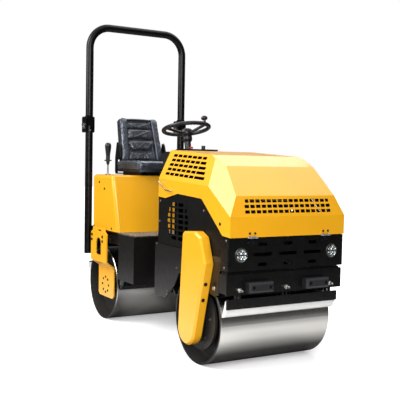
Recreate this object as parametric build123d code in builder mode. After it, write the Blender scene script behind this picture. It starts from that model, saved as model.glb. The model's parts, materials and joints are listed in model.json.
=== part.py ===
"""Ride-on road roller with two smooth drums, an articulated frame and a fold-down roll bar.

Millimetres. +X is forward, +Y is the machine's left, +Z is up. The origin lies on the ground,
midway between the two drum axles.
"""

import os
from math import cos, radians, sin, tan

from build123d import *

os.makedirs("parts", exist_ok=True)

SIDES = {"right": -1, "left": 1}

# ---- driving dimensions --------------------------------------------------------------------
WHEELBASE = 1480
AXLE_X = WHEELBASE / 2
DRUM_RADIUS = 280
DRUM_WIDTH = 800
DRUM_WALL = 16
FRAME_HALF = 420            # half width over the frame's side faces
TAIL_HALF = 386             # half width of the frame between the roll bar posts
SHEET = 6                   # folded sheet covers
PLATE = 12                  # structural plate
DECK_Z = 1125               # top of the seat box
FLOOR_Z = 700               # top of the operator's floor
PIVOT_X = 20                # articulation axis, ahead of the middle
RUNNING = 0.05              # radial clearance of a running fit

# drums and hubs
STUB_RADIUS, HUB_RADIUS = 40, 70
WEB_INNER, WEB_OUTER = 292, 304
FRONT_DISC_RADIUS, FRONT_DISC_OUTER = 190, 386
REAR_DISC_RADIUS, REAR_DISC_OUTER = 110, 322

# front end
PANEL_FRONT = 1109
PANEL_BASE, PANEL_TOP = 614, 804
BEAM_FRONT = 1098
BEAM_BASE, BEAM_TOP = 476, 596
BEAM_RETURN = 82
LAMP_Y, LAMP_Z, LAMP_RADIUS = 330, 707, 40
BUMPER_REACH = 1148
BUMPER_Y, BUMPER_WIDTH, BUMPER_Z, BUMPER_HEIGHT = 205, 172, 519, 60
BOLT_POCKET_RADIUS, BOLT_POCKET_DEPTH, BOLT_POCKET_SHIFT = 10, 20, 58

# hood: each facet is a plane given by one point and its outward direction
HOOD_REAR = 228
HOOD_FRONT = 1120
HOOD_BASE = 808
HOOD_SKIN = 5
HOOD_PROFILE = [            # x, z of the roof line from front to rear
    (1120, 808),
    (1120, 925),
    (1087, 1044),
    (920, 1214),
    (765, 1279),
    (228, 1312),
]
HOOD_LOWER_EDGE = [         # x, z along the bottom edge of the hood's sides
    (1120, 808),
    (1037, 814),
    (795, 1014),
    (494, 1031),
    (328, 996),
    (228, 1002),
]
SIDE_CREASE = (248, 1122)   # x, z where the sides start to lean in
SIDE_CREASE_RUN = (623, 0, -30)         # the crease's direction, towards the front
SIDE_LEAN = (0.021, 0.902, 0.430)
CORNER_POINT = (1120, 417, 925)
CORNER_DIRECTION = (0.325, 0.813, 0.4825)
HOOD_HALF = 417
HINGE_X, HINGE_Z, HINGE_Y = 1128, 808, 267

# roll bar
BAR_X, BAR_Y = -1020, 421
BAR_RADIUS = 30
BAR_FOOT, BAR_TOP = 482, 2313
BAR_BEND = 170
FOLD_X, FOLD_Z = -1054, 1525
CHEEK_BASE, CHEEK_TOP = 1461, 1589
BAR_JOIN = 1512             # top of the lower posts
CHEEK_INNER, CHEEK_OUTER = 28, 37

# steering
COLUMN_FOOT = (-118, 0, 1296)
COLUMN_TILT = 13
COLUMN_TUBE, COLUMN_HEAD, COLUMN_STUB = 24, 37, 9
TUBE_TOP, HEAD_TOP, STUB_TOP = 90, 126, 166     # heights along the column
RIM_HEIGHT = 188
WHEEL_RADIUS, RIM_RADIUS = 168, 14.5
EYE = (60, -85)             # steering pin on the front frame
CYLINDER_FOOT = (-350, -75)
CYLINDER_Z = 470


# ---- helpers -------------------------------------------------------------------------------
def save(piece, name):
    """Label a finished sub-part and write it as its own file."""
    piece.part.label = name
    export_step(piece.part, f"parts/{name}.step")


def upright(y):
    """Plane standing lengthwise at y: its x is forward, its y is up, its normal faces right."""
    return Plane(origin=(0, y, 0), x_dir=(1, 0, 0), z_dir=(0, -1, 0))


def wall(side, inner, outer):
    """Plane and depth of a slab that lies between two distances from the middle, on one side."""
    return upright(max(side * inner, side * outer)), outer - inner


def outline(points, plane, radius=0):
    """Closed face through points on a plane, with every corner rounded when a radius is given."""
    with BuildSketch(plane) as sketch:
        with BuildLine():
            Polyline(*points, close=True)
        make_face()
        if radius:
            fillet(sketch.vertices(), radius)
    return sketch.sketch


def block(low, high, mode=Mode.ADD):
    """Box between two corners, added to the part being built or cut from it."""
    centre = tuple((a + b) / 2 for a, b in zip(low, high))
    size = [b - a for a, b in zip(low, high)]
    with Locations(centre):
        Box(*size, mode=mode)


def across(x, z, y_low, y_high, radius, mode=Mode.ADD):
    """Round bar or bore along Y between two stations."""
    with BuildSketch(upright(y_high)) as disc:
        with Locations((x, z)):
            Circle(radius)
    extrude(disc.sketch, amount=y_high - y_low, mode=mode)


# ---- drums ---------------------------------------------------------------------------------
def drum_profile(disc_radius, disc_outer):
    """Half section of a drum: shell, recessed webs and hub discs, as radius against width."""
    shell = DRUM_RADIUS - DRUM_WALL
    half = DRUM_WIDTH / 2
    bore = STUB_RADIUS + RUNNING
    end = [
        (shell, WEB_INNER),
        (HUB_RADIUS, WEB_INNER),
        (HUB_RADIUS, WEB_INNER - 60),
        (bore, WEB_INNER - 60),
        (bore, disc_outer),
        (disc_radius, disc_outer),
        (disc_radius, disc_outer - 16),
        (HUB_RADIUS, disc_outer - 16),
        (HUB_RADIUS, WEB_OUTER),
        (shell, WEB_OUTER),
        (shell, half),
        (DRUM_RADIUS - 3, half),
        (DRUM_RADIUS, half - 3),
    ]
    return end + [(radius, -width) for radius, width in reversed(end)]


def drum(name, axle_x, disc_radius, disc_outer):
    """Smooth steel drum, turned about its axle."""
    axle = Plane(origin=(axle_x, 0, DRUM_RADIUS), x_dir=(1, 0, 0), z_dir=(0, 0, 1))
    with BuildPart() as roll:
        with BuildSketch(axle):
            with BuildLine():
                Polyline(*drum_profile(disc_radius, disc_outer), close=True)
            make_face()
        revolve(axis=Axis((axle_x, 0, DRUM_RADIUS), (0, 1, 0)))
    save(roll, name)


drum("front_drum", AXLE_X, FRONT_DISC_RADIUS, FRONT_DISC_OUTER)
drum("rear_drum", -AXLE_X, REAR_DISC_RADIUS, REAR_DISC_OUTER)


# ---- front frame ---------------------------------------------------------------------------
ARM_OUTLINE = [             # x, z of the plate behind each chain case
    (600, 690),
    (1022, 690),
    (1022, 602),
    (1012, 602),
    (1012, 468),
    (962, 452),
    (890, 470),
    (820, 170),
    (751, 138),
    (648, 190),
    (622, 314),
]
SPLASH_OUTLINE = [          # x, z of the lower rear plate of the front frame
    (192, 345),
    (348, 343),
    (472, 443),
    (525, 523),
    (640, 600),
    (640, 690),
    (192, 690),
]
ARM_INNER, ARM_OUTER = 408, 418
SPLASH_REAR, SPLASH_FOOT, SPLASH_TOP = 192, 345, 690
TRAY_BASE, TRAY_TOP, TRAY_FRONT = 596, 606, 1086
with BuildPart() as front_frame:
    for side in SIDES.values():
        plane, depth = wall(side, ARM_INNER, ARM_OUTER)
        extrude(outline(ARM_OUTLINE, plane), amount=depth)
        extrude(outline(SPLASH_OUTLINE, plane), amount=depth)
    block((SPLASH_REAR, -ARM_OUTER, SPLASH_FOOT), (SPLASH_REAR + PLATE, ARM_OUTER, SPLASH_TOP))
    block((SPLASH_REAR + PLATE, -ARM_INNER, TRAY_BASE), (TRAY_FRONT, ARM_INNER, TRAY_TOP))
save(front_frame, "front_frame")

BULKHEAD_X, BULKHEAD_DEPTH = 208, 10
BULKHEAD_OUTLINE = [        # y, z of the left half, from the foot up
    (404, 606),
    (404, 1118),
    (318, 1296),
]
WINDOW_Y, WINDOW_Z = (283, 392), (740, 975)     # air windows beside the engine
with BuildPart() as bulkhead:
    mirrored = [(-y, z) for y, z in reversed(BULKHEAD_OUTLINE)]
    extrude(outline(BULKHEAD_OUTLINE + mirrored, Plane.YZ.offset(BULKHEAD_X)), amount=BULKHEAD_DEPTH)
    for side in SIDES.values():
        y_low, y_high = sorted(side * y for y in WINDOW_Y)
        block((BULKHEAD_X - 1, y_low, WINDOW_Z[0]), (BULKHEAD_X + BULKHEAD_DEPTH + 1, y_high, WINDOW_Z[1]),
              mode=Mode.SUBTRACT)
save(bulkhead, "bulkhead")

FRONT_FLANGE, FRONT_FLANGE_RADIUS, FRONT_STUB_END = 392, 95, 236
with BuildPart() as front_hubs:
    for side in SIDES.values():
        across(AXLE_X, DRUM_RADIUS, *sorted((side * FRONT_FLANGE, side * ARM_INNER)), FRONT_FLANGE_RADIUS)
        across(AXLE_X, DRUM_RADIUS, *sorted((side * FRONT_STUB_END, side * (FRONT_FLANGE + 2))), STUB_RADIUS)
save(front_hubs, "front_hubs")

# ---- chain cases ---------------------------------------------------------------------------
CASE_TOP = [                # x, z of the corners above the round lower end, from rear to front
    (677, 812),
    (826, 823),
    (893, 795),
    (951, 644),
]
CASE_NOSE, CASE_NOSE_RADIUS = (735, 226), 100
CASE_REACH = 480
CASE_CORNER, CASE_EDGE = 22, 12


def case_face(plane, inset):
    """Outline of a chain case, moved inwards by an inset."""
    with BuildSketch(plane) as face:
        with BuildLine():
            CenterArc(CASE_NOSE, CASE_NOSE_RADIUS, 0, 360)
            Polyline(*CASE_TOP)
        make_hull()
        fillet(face.vertices().filter_by(lambda corner: corner.Y > 600), CASE_CORNER)
        if inset:
            offset(amount=-inset)
    return face.sketch


with BuildPart() as chain_cases:
    for side in SIDES.values():
        plane, depth = wall(side, FRAME_HALF, CASE_REACH)
        extrude(case_face(plane, 0), amount=depth)
        chamfer(chain_cases.faces().sort_by(Axis.Y)[0 if side < 0 else -1].edges(), CASE_EDGE)
        plane, depth = wall(side, FRAME_HALF, CASE_REACH - SHEET)
        extrude(case_face(plane, CASE_EDGE + 2), amount=depth, mode=Mode.SUBTRACT)
save(chain_cases, "chain_cases")

# ---- engine --------------------------------------------------------------------------------
with BuildPart() as engine:
    block((380, -200, 612), (860, 200, 1000))
    chamfer(engine.edges().filter_by(Axis.Z), 20)
save(engine, "engine")

# ---- engine side panels --------------------------------------------------------------------
VENT_CENTRE, VENT_RADIUS = (490, 854), 140
VENT_ROWS, VENT_ROW_PITCH = 7, 36
VENT_COLUMNS, VENT_COLUMN_PITCH = 4, 86
VENT_SLOT = (66, 24)
VENT_SHORTEST = 20


def round_patch_slots():
    """Centres and lengths of the slots of a round vent patch: rows shorten towards the rim."""
    slots = []
    for row in range(VENT_ROWS):
        z = (row - (VENT_ROWS - 1) / 2) * VENT_ROW_PITCH
        reach = (VENT_RADIUS**2 - z**2) ** 0.5
        for column in range(VENT_COLUMNS):
            middle = (column - (VENT_COLUMNS - 1) / 2) * VENT_COLUMN_PITCH
            low = max(middle - VENT_SLOT[0] / 2, -reach)
            high = min(middle + VENT_SLOT[0] / 2, reach)
            if high - low > VENT_SHORTEST:
                slots.append((VENT_CENTRE[0] + (low + high) / 2, VENT_CENTRE[1] + z, high - low))
    return slots


GAP = 4                     # reveal between the hood and the panels under it
SIDE_FOOT = [               # x, z along the side panel's foot and up its front edge
    (222, 690),
    (1026, 690),
    (1026, 616),
    (1060, 616),
    (1060, 806),
]
SIDE_REAR_TOP = (236, 998)
with BuildPart() as engine_sides:
    top = [(x, z - GAP) for x, z in HOOD_LOWER_EDGE[1:-1]]
    for side in SIDES.values():
        plane, depth = wall(side, ARM_INNER, ARM_INNER + SHEET)
        extrude(outline(SIDE_FOOT + top + [SIDE_REAR_TOP], plane), amount=depth)
        with BuildSketch(plane):
            for x, z, length in round_patch_slots():
                with Locations((x, z)):
                    Rectangle(length, VENT_SLOT[1])
        extrude(amount=depth, mode=Mode.SUBTRACT)
save(engine_sides, "engine_sides")

# ---- front panel and lamps -----------------------------------------------------------------
SLOT_COLUMNS = (-182, 0, 182)
SLOT_ROWS = ((765, 62), (706, 129), (648, 62))      # z and length
SLOT_HEIGHT, SLOT_CORNER = 20, 4
PANEL_REAR = 1026
with BuildPart() as front_panel:
    block((PANEL_REAR, -FRAME_HALF, PANEL_BASE), (PANEL_FRONT, FRAME_HALF, PANEL_TOP))
    fillet(front_panel.edges().filter_by(Axis.Z).sort_by(Axis.X)[-2:], 5)
    inner = FRAME_HALF - SHEET
    block((PANEL_REAR - 1, -inner, PANEL_BASE), (PANEL_FRONT - SHEET, inner, PANEL_TOP), mode=Mode.SUBTRACT)
    with BuildSketch(Plane.YZ.offset(PANEL_FRONT - 2 * SHEET)):
        for z, length in SLOT_ROWS:
            for y in SLOT_COLUMNS:
                with Locations((y, z)):
                    Rectangle(length, SLOT_HEIGHT)
        chamfer(vertices(), SLOT_CORNER)
        for side in SIDES.values():
            with Locations((side * LAMP_Y, LAMP_Z)):
                Circle(LAMP_RADIUS + 1)
    extrude(amount=2 * SHEET + 1, mode=Mode.SUBTRACT)
save(front_panel, "front_panel")

LAMP_PROFILE = [            # distance ahead of the panel, radius: body, hollow face and rim
    (-45, 0),
    (4, 0),
    (2, 30),
    (4, 33),
    (4, LAMP_RADIUS - 1),
    (0.5, LAMP_RADIUS + 4),
    (0.5, LAMP_RADIUS),
    (-30, LAMP_RADIUS),
    (-45, 24),
]
with BuildPart() as head_lamps:
    for side in SIDES.values():
        centre = (PANEL_FRONT, side * LAMP_Y, LAMP_Z)
        section = outline(LAMP_PROFILE, Plane(origin=centre, x_dir=(1, 0, 0), z_dir=(0, -1, 0)))
        revolve(section, axis=Axis(centre, (1, 0, 0)))
save(head_lamps, "head_lamps")


# ---- beams, buffers and scrapers -----------------------------------------------------------
def beam(name, facing, half, returns):
    """Channel across one end of the machine: front plate, side returns and a top lip."""
    front = BEAM_FRONT
    with BuildPart() as channel:
        def slab(x_low, x_high, y_low, y_high, z_low, z_high):
            low, high = sorted((facing * x_low, facing * x_high))
            block((low, y_low, z_low), (high, y_high, z_high))

        slab(front - PLATE, front, -half, half, BEAM_BASE, BEAM_TOP - 4)
        for side in SIDES.values():
            y_low, y_high = sorted((side * (half - 10), side * half))
            if returns > PLATE:
                slab(front - returns, front - PLATE, y_low, y_high, BEAM_BASE + 8, BEAM_TOP - 4)
        slab(front - returns, front, -half, half, BEAM_TOP - 4, BEAM_TOP)
    save(channel, name)


beam("front_beam", 1, FRAME_HALF, BEAM_RETURN)
beam("rear_beam", -1, TAIL_HALF, PLATE)


def buffers(name, facing):
    """Pair of moulded rubber buffers with bevelled noses."""
    with BuildPart() as pair:
        for side in SIDES.values():
            low, high = sorted((facing * BEAM_FRONT, facing * BUMPER_REACH))
            block(
                (low, side * BUMPER_Y - BUMPER_WIDTH / 2, BUMPER_Z - BUMPER_HEIGHT / 2),
                (high, side * BUMPER_Y + BUMPER_WIDTH / 2, BUMPER_Z + BUMPER_HEIGHT / 2),
            )
        noses = pair.faces().filter_by(Axis.X).group_by(Axis.X)[-1 if facing > 0 else 0]
        chamfer(noses.edges(), 12)
        with BuildSketch(Plane.YZ.offset(facing * (BUMPER_REACH - BOLT_POCKET_DEPTH))):
            for side in SIDES.values():
                for shift in (-BOLT_POCKET_SHIFT, BOLT_POCKET_SHIFT):
                    with Locations((side * BUMPER_Y + shift, BUMPER_Z)):
                        Circle(BOLT_POCKET_RADIUS)
        extrude(amount=facing * (BOLT_POCKET_DEPTH + 1), mode=Mode.SUBTRACT)
    save(pair, name)


buffers("front_buffers", 1)
buffers("rear_buffers", -1)

HANGERS = (-330, 0, 330)
HANGER_SHIFT, HANGER_HALF = 13, 6       # each hanger is a pair of flat straps
BAR_BACK, BAR_FACE = 1070, 1082
BAR_LOW, BAR_HIGH = 392, 450
BLADE_PROFILE = [           # x, z round the nylon blade behind the bar
    (1070, 440),
    (1058, 440),
    (1027, 352),
    (1024, 344),
    (1032, 340),
    (1056, 352),
    (1070, 392),
]


def scraper_bar(name, facing, half, drop):
    """Flat bar held under the beam on pairs of straps."""
    with BuildPart() as bar:
        low, high = sorted((facing * BAR_BACK, facing * BAR_FACE))
        block((low, -half, BAR_LOW - drop), (high, half, BAR_HIGH - drop))
        low, high = sorted((facing * BAR_BACK, facing * (BEAM_FRONT - PLATE)))
        for middle in [y + shift for y in HANGERS for shift in (-HANGER_SHIFT, HANGER_SHIFT)]:
            strap = middle - HANGER_HALF, middle + HANGER_HALF
            block((low, strap[0], BAR_HIGH - drop), (high, strap[1], BEAM_TOP - PLATE))
    save(bar, name)


def scraper_blade(name, facing, half, drop):
    """Nylon blade on the back of the bar, slanting down to the drum's surface."""
    profile = [(facing * x, z - drop) for x, z in BLADE_PROFILE]
    with BuildPart() as blade:
        extrude(outline(profile, upright(half)), amount=2 * half)
    save(blade, name)


scraper_bar("front_scraper_bar", 1, 403, 0)
scraper_blade("front_scraper_blade", 1, 400, 0)
scraper_bar("rear_scraper_bar", -1, 385, 40)
scraper_blade("rear_scraper_blade", -1, 385, 40)

# inner scrapers, on the frame faces between the drums: a bar and a slanting blade
INNER_SCRAPERS = [          # name, facing, bar's x range, bar's z range, half width, blade tip's x, z
    ("rear_inner_scraper", -1, (410, 424), (300, 420), 385, (453, 270)),
    ("front_inner_scraper", 1, (408, 422), (424, 476), 408, (472, 384)),
]
for name, facing, (near, far), (base, top), half, (tip_x, tip_z) in INNER_SCRAPERS:
    with BuildPart() as inner:
        profile = [
            (near, base), (near, top), (far, top), (far, base + 24),
            (tip_x, tip_z), (tip_x - 6, tip_z - 4), (far - 4, base),
        ]
        extrude(outline([(facing * x, z) for x, z in profile], upright(half)), amount=2 * half)
    save(inner, name)


# ---- hood ----------------------------------------------------------------------------------
def hood_block(inset, overshoot):
    """Solid inside the hood's facets, moved inwards by an inset, run out below and behind."""
    rear, base = HOOD_REAR - overshoot, HOOD_BASE - overshoot
    roof = HOOD_PROFILE[:-1] + [(rear, HOOD_PROFILE[-1][1])]
    profile = [(HOOD_FRONT, base)] + roof[1:] + [(rear, base)]
    half = HOOD_HALF - inset
    with BuildPart() as body:
        with BuildSketch(upright(half)) as face:
            with BuildLine():
                Polyline(*profile, close=True)
            make_face()
            if inset:
                offset(amount=-inset, kind=Kind.INTERSECTION)
        extrude(face.sketch, amount=2 * half)
        for side in SIDES.values():
            for point, direction in (
                ((SIDE_CREASE[0], HOOD_HALF, SIDE_CREASE[1]), SIDE_LEAN),
                (CORNER_POINT, CORNER_DIRECTION),
            ):
                normal = Vector(direction[0], side * direction[1], direction[2]).normalized()
                origin = Vector(point[0], side * point[1], point[2]) - normal * inset
                split(bisect_by=Plane(origin=origin, z_dir=normal), keep=Keep.BOTTOM)
    return body.part


def facet_plane(low, high):
    """Plane on the front facet between two roof points: x runs to the left, y up the slope."""
    (x_low, z_low), (x_high, z_high) = low, high
    origin = ((x_low + x_high) / 2, 0, (z_low + z_high) / 2)
    return Plane(origin=origin, x_dir=(0, 1, 0), z_dir=(z_high - z_low, 0, x_low - x_high))


def side_vent_plane(side):
    """Plane on the leaning side facet, its x along the crease towards the front."""
    lean = Vector(SIDE_LEAN[0], side * SIDE_LEAN[1], SIDE_LEAN[2]).normalized()
    crease = Vector(SIDE_CREASE[0], side * HOOD_HALF, SIDE_CREASE[1])
    along = Vector(SIDE_CREASE_RUN).normalized()
    return Plane(origin=crease, x_dir=along, z_dir=lean)


FRONT_VENT_ROWS = [         # distance up the facet and half width of each row
    (-32, 318),
    (0, 311),
    (32, 304),
]
FRONT_VENT_COLUMNS, FRONT_VENT_PITCH, FRONT_VENT_SLOT = 16, 39.5, (30, 18.5)
SIDE_VENT_START, SIDE_VENT_PITCH, SIDE_VENT_SLOT = 43, 63, (52, 18.5)
SIDE_VENT_COLUMNS = 7
SIDE_VENT_ROWS = [          # distance up the facet and where the last slot of each row ends
    (42, 542),
    (75, 523),
    (108, 505),
    (141, 487),
    (174, 469),
]

with BuildPart() as hood:
    add(hood_block(0, 0))
    add(hood_block(HOOD_SKIN, 40), mode=Mode.SUBTRACT)
    below = HOOD_LOWER_EDGE + [(HOOD_REAR - 10, 1002), (HOOD_REAR - 10, 700), (HOOD_FRONT + 10, 700)]
    below.append((HOOD_FRONT + 10, HOOD_BASE))
    extrude(outline(below, upright(HOOD_HALF + 10)), amount=2 * HOOD_HALF + 20, mode=Mode.SUBTRACT)
    with BuildSketch(facet_plane(HOOD_PROFILE[1], HOOD_PROFILE[2])) as front_slots:
        for height, half in FRONT_VENT_ROWS:
            for column in range(FRONT_VENT_COLUMNS):
                middle = (column - (FRONT_VENT_COLUMNS - 1) / 2) * FRONT_VENT_PITCH
                low = max(middle - FRONT_VENT_SLOT[0] / 2, -half)
                high = min(middle + FRONT_VENT_SLOT[0] / 2, half)
                with Locations(((low + high) / 2, height)):
                    Rectangle(high - low, FRONT_VENT_SLOT[1])
    extrude(front_slots.sketch, amount=2 * HOOD_SKIN, both=True, mode=Mode.SUBTRACT)
    for side in SIDES.values():
        with BuildSketch(side_vent_plane(side)) as side_slots:
            for height, end in SIDE_VENT_ROWS:
                for column in range(SIDE_VENT_COLUMNS):
                    low = SIDE_VENT_START + column * SIDE_VENT_PITCH
                    high = end if column == SIDE_VENT_COLUMNS - 1 else low + SIDE_VENT_SLOT[0]
                    with Locations(((low + high) / 2, -side * height)):
                        Rectangle(high - low, SIDE_VENT_SLOT[1])
        extrude(side_slots.sketch, amount=2 * HOOD_SKIN, both=True, mode=Mode.SUBTRACT)
save(hood, "hood")

# wire handles on the rear corners of the hood
HANDLE_Y, HANDLE_WIRE, HANDLE_BEND = 438, 4, 9
HANDLE_ENDS = (262, 1100), (433, 1046)          # x, z of the two feet
HANDLE_ELBOW = (369, 1050)
with BuildPart() as hood_handles:
    for side in SIDES.values():
        (x_rear, z_rear), (x_front, z_front) = HANDLE_ENDS
        foot_y, grip_y = side * (HOOD_HALF + 0.5), side * HANDLE_Y
        with BuildLine() as path:
            FilletPolyline(
                (x_rear, foot_y, z_rear),
                (x_rear, grip_y, z_rear),
                (HANDLE_ELBOW[0], grip_y, HANDLE_ELBOW[1]),
                (x_front, grip_y, z_front),
                (x_front, foot_y, z_front),
                radius=HANDLE_BEND,
            )
        with BuildSketch(Plane(origin=path.line @ 0, z_dir=path.line % 0)):
            RegularPolygon(HANDLE_WIRE, 8)
        sweep(path=path.line)
save(hood_handles, "hood_handles")

# hood hinges: a fixed leaf with its pin, and a leaf on the hood with two knuckles
KNUCKLE, HINGE_PIN, HINGE_SPAN, LEAF = 6, 3, 34, 4
FIXED_KNUCKLE_HALF, KNUCKLE_GAP = 10, 2
FIXED_LEAF_Z, MOVING_LEAF_Z = (768, 792), (818, 842)
FIXED_STRAP = [             # x, z round the strap from the panel out to the pin
    (PANEL_FRONT, 770),
    (PANEL_FRONT + LEAF, 770),
    (PANEL_FRONT + LEAF + 1, 790),
    (HINGE_X + 5, HINGE_Z - 4),
    (HINGE_X, HINGE_Z),
    (HINGE_X - 5, HINGE_Z - 3),
    (PANEL_FRONT, 798),
]
with BuildPart() as hinge_fixed:
    for side in SIDES.values():
        middle = side * HINGE_Y
        strap_plane = upright(middle + FIXED_KNUCKLE_HALF)
        extrude(outline(FIXED_STRAP, strap_plane), amount=2 * FIXED_KNUCKLE_HALF)
        across(HINGE_X, HINGE_Z, middle - FIXED_KNUCKLE_HALF, middle + FIXED_KNUCKLE_HALF, KNUCKLE)
        low, high = FIXED_LEAF_Z
        block((PANEL_FRONT, middle - HINGE_SPAN, low), (PANEL_FRONT + LEAF, middle + HINGE_SPAN, high))
        across(HINGE_X, HINGE_Z, middle - HINGE_SPAN - 3, middle + HINGE_SPAN + 3, HINGE_PIN)
save(hinge_fixed, "hinge_leaves_fixed")

with BuildPart() as hinge_moving:
    start = FIXED_KNUCKLE_HALF + KNUCKLE_GAP
    for side in SIDES.values():
        middle = side * HINGE_Y
        leaf_low, leaf_high = MOVING_LEAF_Z
        for low, high in ((middle - HINGE_SPAN, middle - start), (middle + start, middle + HINGE_SPAN)):
            across(HINGE_X, HINGE_Z, low, high, KNUCKLE)
            block((HOOD_FRONT, low, HINGE_Z + 2), (HOOD_FRONT + LEAF, high, leaf_high))
        y_low, y_high = middle - HINGE_SPAN, middle + HINGE_SPAN
        block((HOOD_FRONT, y_low, leaf_low), (HOOD_FRONT + LEAF, y_high, leaf_high))
        across(HINGE_X, HINGE_Z, middle - HINGE_SPAN - 5, middle + HINGE_SPAN + 5, HINGE_PIN + RUNNING,
               mode=Mode.SUBTRACT)
save(hinge_moving, "hinge_leaves_moving")


# ---- console and steering ------------------------------------------------------------------
COLUMN_AXIS = Vector(-sin(radians(COLUMN_TILT)), 0, cos(radians(COLUMN_TILT)))
column_base = Plane(origin=COLUMN_FOOT, x_dir=(0, 1, 0), z_dir=COLUMN_AXIS)


def face_z(x):
    """Height of the console's face, which slopes square to the column."""
    return COLUMN_FOOT[2] + (x - COLUMN_FOOT[0]) * tan(radians(COLUMN_TILT))


FACE_REAR, SHELF_REAR, DASH_FRONT = -154, -75, 22
CONSOLE_OUTLINE = [         # x, z round the console, from its front foot up
    (208, 1120),
    (208, face_z(SHELF_REAR)),
    (SHELF_REAR, face_z(SHELF_REAR)),
    (FACE_REAR, face_z(FACE_REAR)),
    (-160, 1262),
    (-60, 1180),
    (60, 1120),
]
DASH_OUTLINE = [            # x, z round the narrower dash on top, which carries the face on
    (DASH_FRONT, 1290),
    (DASH_FRONT, face_z(DASH_FRONT)),
    (FACE_REAR, face_z(FACE_REAR)),
    (FACE_REAR, 1270),
]
CONSOLE_HALF, DASH_HALF = 208, 165
CAP_X, CAP_Y, CAP_RADIUS, CAP_TOP = 0, 55, 14, 1354
with BuildPart() as console:
    extrude(outline(CONSOLE_OUTLINE, upright(CONSOLE_HALF)), amount=2 * CONSOLE_HALF)
    extrude(outline(DASH_OUTLINE, upright(DASH_HALF)), amount=2 * DASH_HALF)
    with BuildSketch(Plane.XY.offset(CAP_TOP)):
        with Locations((CAP_X, CAP_Y)):
            Circle(CAP_RADIUS)
    extrude(amount=-60)
save(console, "console")


def turned(profile, plane):
    """Face between a profile of radius, height points and the axis of the plane it stands on."""
    return outline(profile, Plane(origin=plane.origin, x_dir=plane.x_dir, z_dir=-plane.y_dir))


COLUMN_PROFILE = [          # radius, height along the column
    (0, 0),
    (COLUMN_TUBE, 0),
    (COLUMN_TUBE, TUBE_TOP),
    (COLUMN_HEAD - 7, TUBE_TOP),
    (COLUMN_HEAD, TUBE_TOP + 14),
    (COLUMN_HEAD, HEAD_TOP),
    (COLUMN_STUB, HEAD_TOP),
    (COLUMN_STUB, STUB_TOP),
    (0, STUB_TOP),
]
with BuildPart() as steering_column:
    revolve(turned(COLUMN_PROFILE, column_base), axis=Axis(column_base.origin, COLUMN_AXIS))
save(steering_column, "steering_column")

SPOKE_ANGLES = (60, 180, 300)
SPOKE_SECTION, SPOKE_CHAMFER = (32, 15), 5
SPOKE_ROOT, SPOKE_ROOT_HEIGHT = 26, 150
HUB_PROFILE = [             # radius, height along the column: dished hub with a domed cap
    (COLUMN_STUB + RUNNING, HEAD_TOP + 3),
    (34, HEAD_TOP + 3),
    (44, 144),
    (46, 160),
    (44, 174),
    (36, 183),
    (20, 189),
    (0, 190),
    (0, STUB_TOP + 1),
    (COLUMN_STUB + RUNNING, STUB_TOP + 1),
]
rim_plane = column_base.offset(RIM_HEIGHT)
with BuildPart() as steering_wheel:
    revolve(turned(HUB_PROFILE, column_base), axis=Axis(column_base.origin, COLUMN_AXIS))
    with BuildSketch(Plane(origin=rim_plane.origin, x_dir=rim_plane.x_dir, z_dir=-rim_plane.y_dir)) as rim:
        with Locations((WHEEL_RADIUS, 0)):
            RegularPolygon(RIM_RADIUS, 10)
    revolve(rim.sketch, axis=Axis(rim_plane.origin, COLUMN_AXIS))
    for angle in SPOKE_ANGLES:
        root = column_base.offset(SPOKE_ROOT_HEIGHT)
        direction = root.x_dir * cos(radians(angle)) + root.y_dir * sin(radians(angle))
        start = root.origin + direction * SPOKE_ROOT
        end = rim_plane.origin + direction * (WHEEL_RADIUS - 4)
        spoke = Plane(origin=start, x_dir=root.z_dir.cross(direction), z_dir=end - start)
        with BuildSketch(spoke) as section:
            Rectangle(*SPOKE_SECTION)
            chamfer(vertices(), SPOKE_CHAMFER)
        extrude(section.sketch, amount=(end - start).length)
save(steering_wheel, "steering_wheel")

KNOB_ANGLE = -65                         # round the rim from the left, towards the front
KNOB_PROFILE = [            # radius, height over the rim's middle: stem and mushroom head
    (0, RIM_RADIUS - 0.5),
    (9, RIM_RADIUS - 0.5),
    (9, RIM_RADIUS + 14),
    (20, RIM_RADIUS + 17),
    (24, RIM_RADIUS + 26),
    (22, RIM_RADIUS + 36),
    (14, RIM_RADIUS + 43),
    (0, RIM_RADIUS + 45),
]
with BuildPart() as knob:
    direction = rim_plane.x_dir * cos(radians(KNOB_ANGLE)) + rim_plane.y_dir * sin(radians(KNOB_ANGLE))
    stem = Plane(origin=rim_plane.origin + direction * WHEEL_RADIUS, x_dir=direction, z_dir=COLUMN_AXIS)
    revolve(turned(KNOB_PROFILE, stem), axis=Axis(stem.origin, COLUMN_AXIS))
save(knob, "spinner_knob")

# ---- articulation --------------------------------------------------------------------------
PIVOT_PIN = 25
FOOT_PIN, EYE_PIN, EYE_BORE = 9, 9, 21
YOKE_LOWER, YOKE_UPPER, YOKE_PLATE = 388, 566, 22
YOKE_OUTLINE = [
    (192, -160),
    (192, 160),
    (150, 160),
    (46, 52),
    (-10, 46),
    (-32, 20),
    (-32, -20),
    (-10, -46),
    (30, -112),
    (62, -124),
    (150, -160),
]
with BuildPart() as pivot_yoke:
    for base in (YOKE_LOWER, YOKE_UPPER):
        extrude(outline(YOKE_OUTLINE, Plane.XY.offset(base)), amount=YOKE_PLATE)
    for y in (-150, 130):
        block((170, y, YOKE_LOWER + YOKE_PLATE), (192, y + 20, YOKE_UPPER))
    with BuildSketch(Plane.XY.offset(YOKE_LOWER)):
        with Locations((PIVOT_X, 0)):
            Circle(PIVOT_PIN)
    extrude(amount=YOKE_UPPER + YOKE_PLATE - YOKE_LOWER, mode=Mode.SUBTRACT)
    with BuildSketch(Plane.XY.offset(YOKE_LOWER + YOKE_PLATE)):
        with Locations(EYE):
            Circle(EYE_PIN)
    extrude(amount=CYLINDER_Z + 22 - YOKE_LOWER - YOKE_PLATE)
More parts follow.
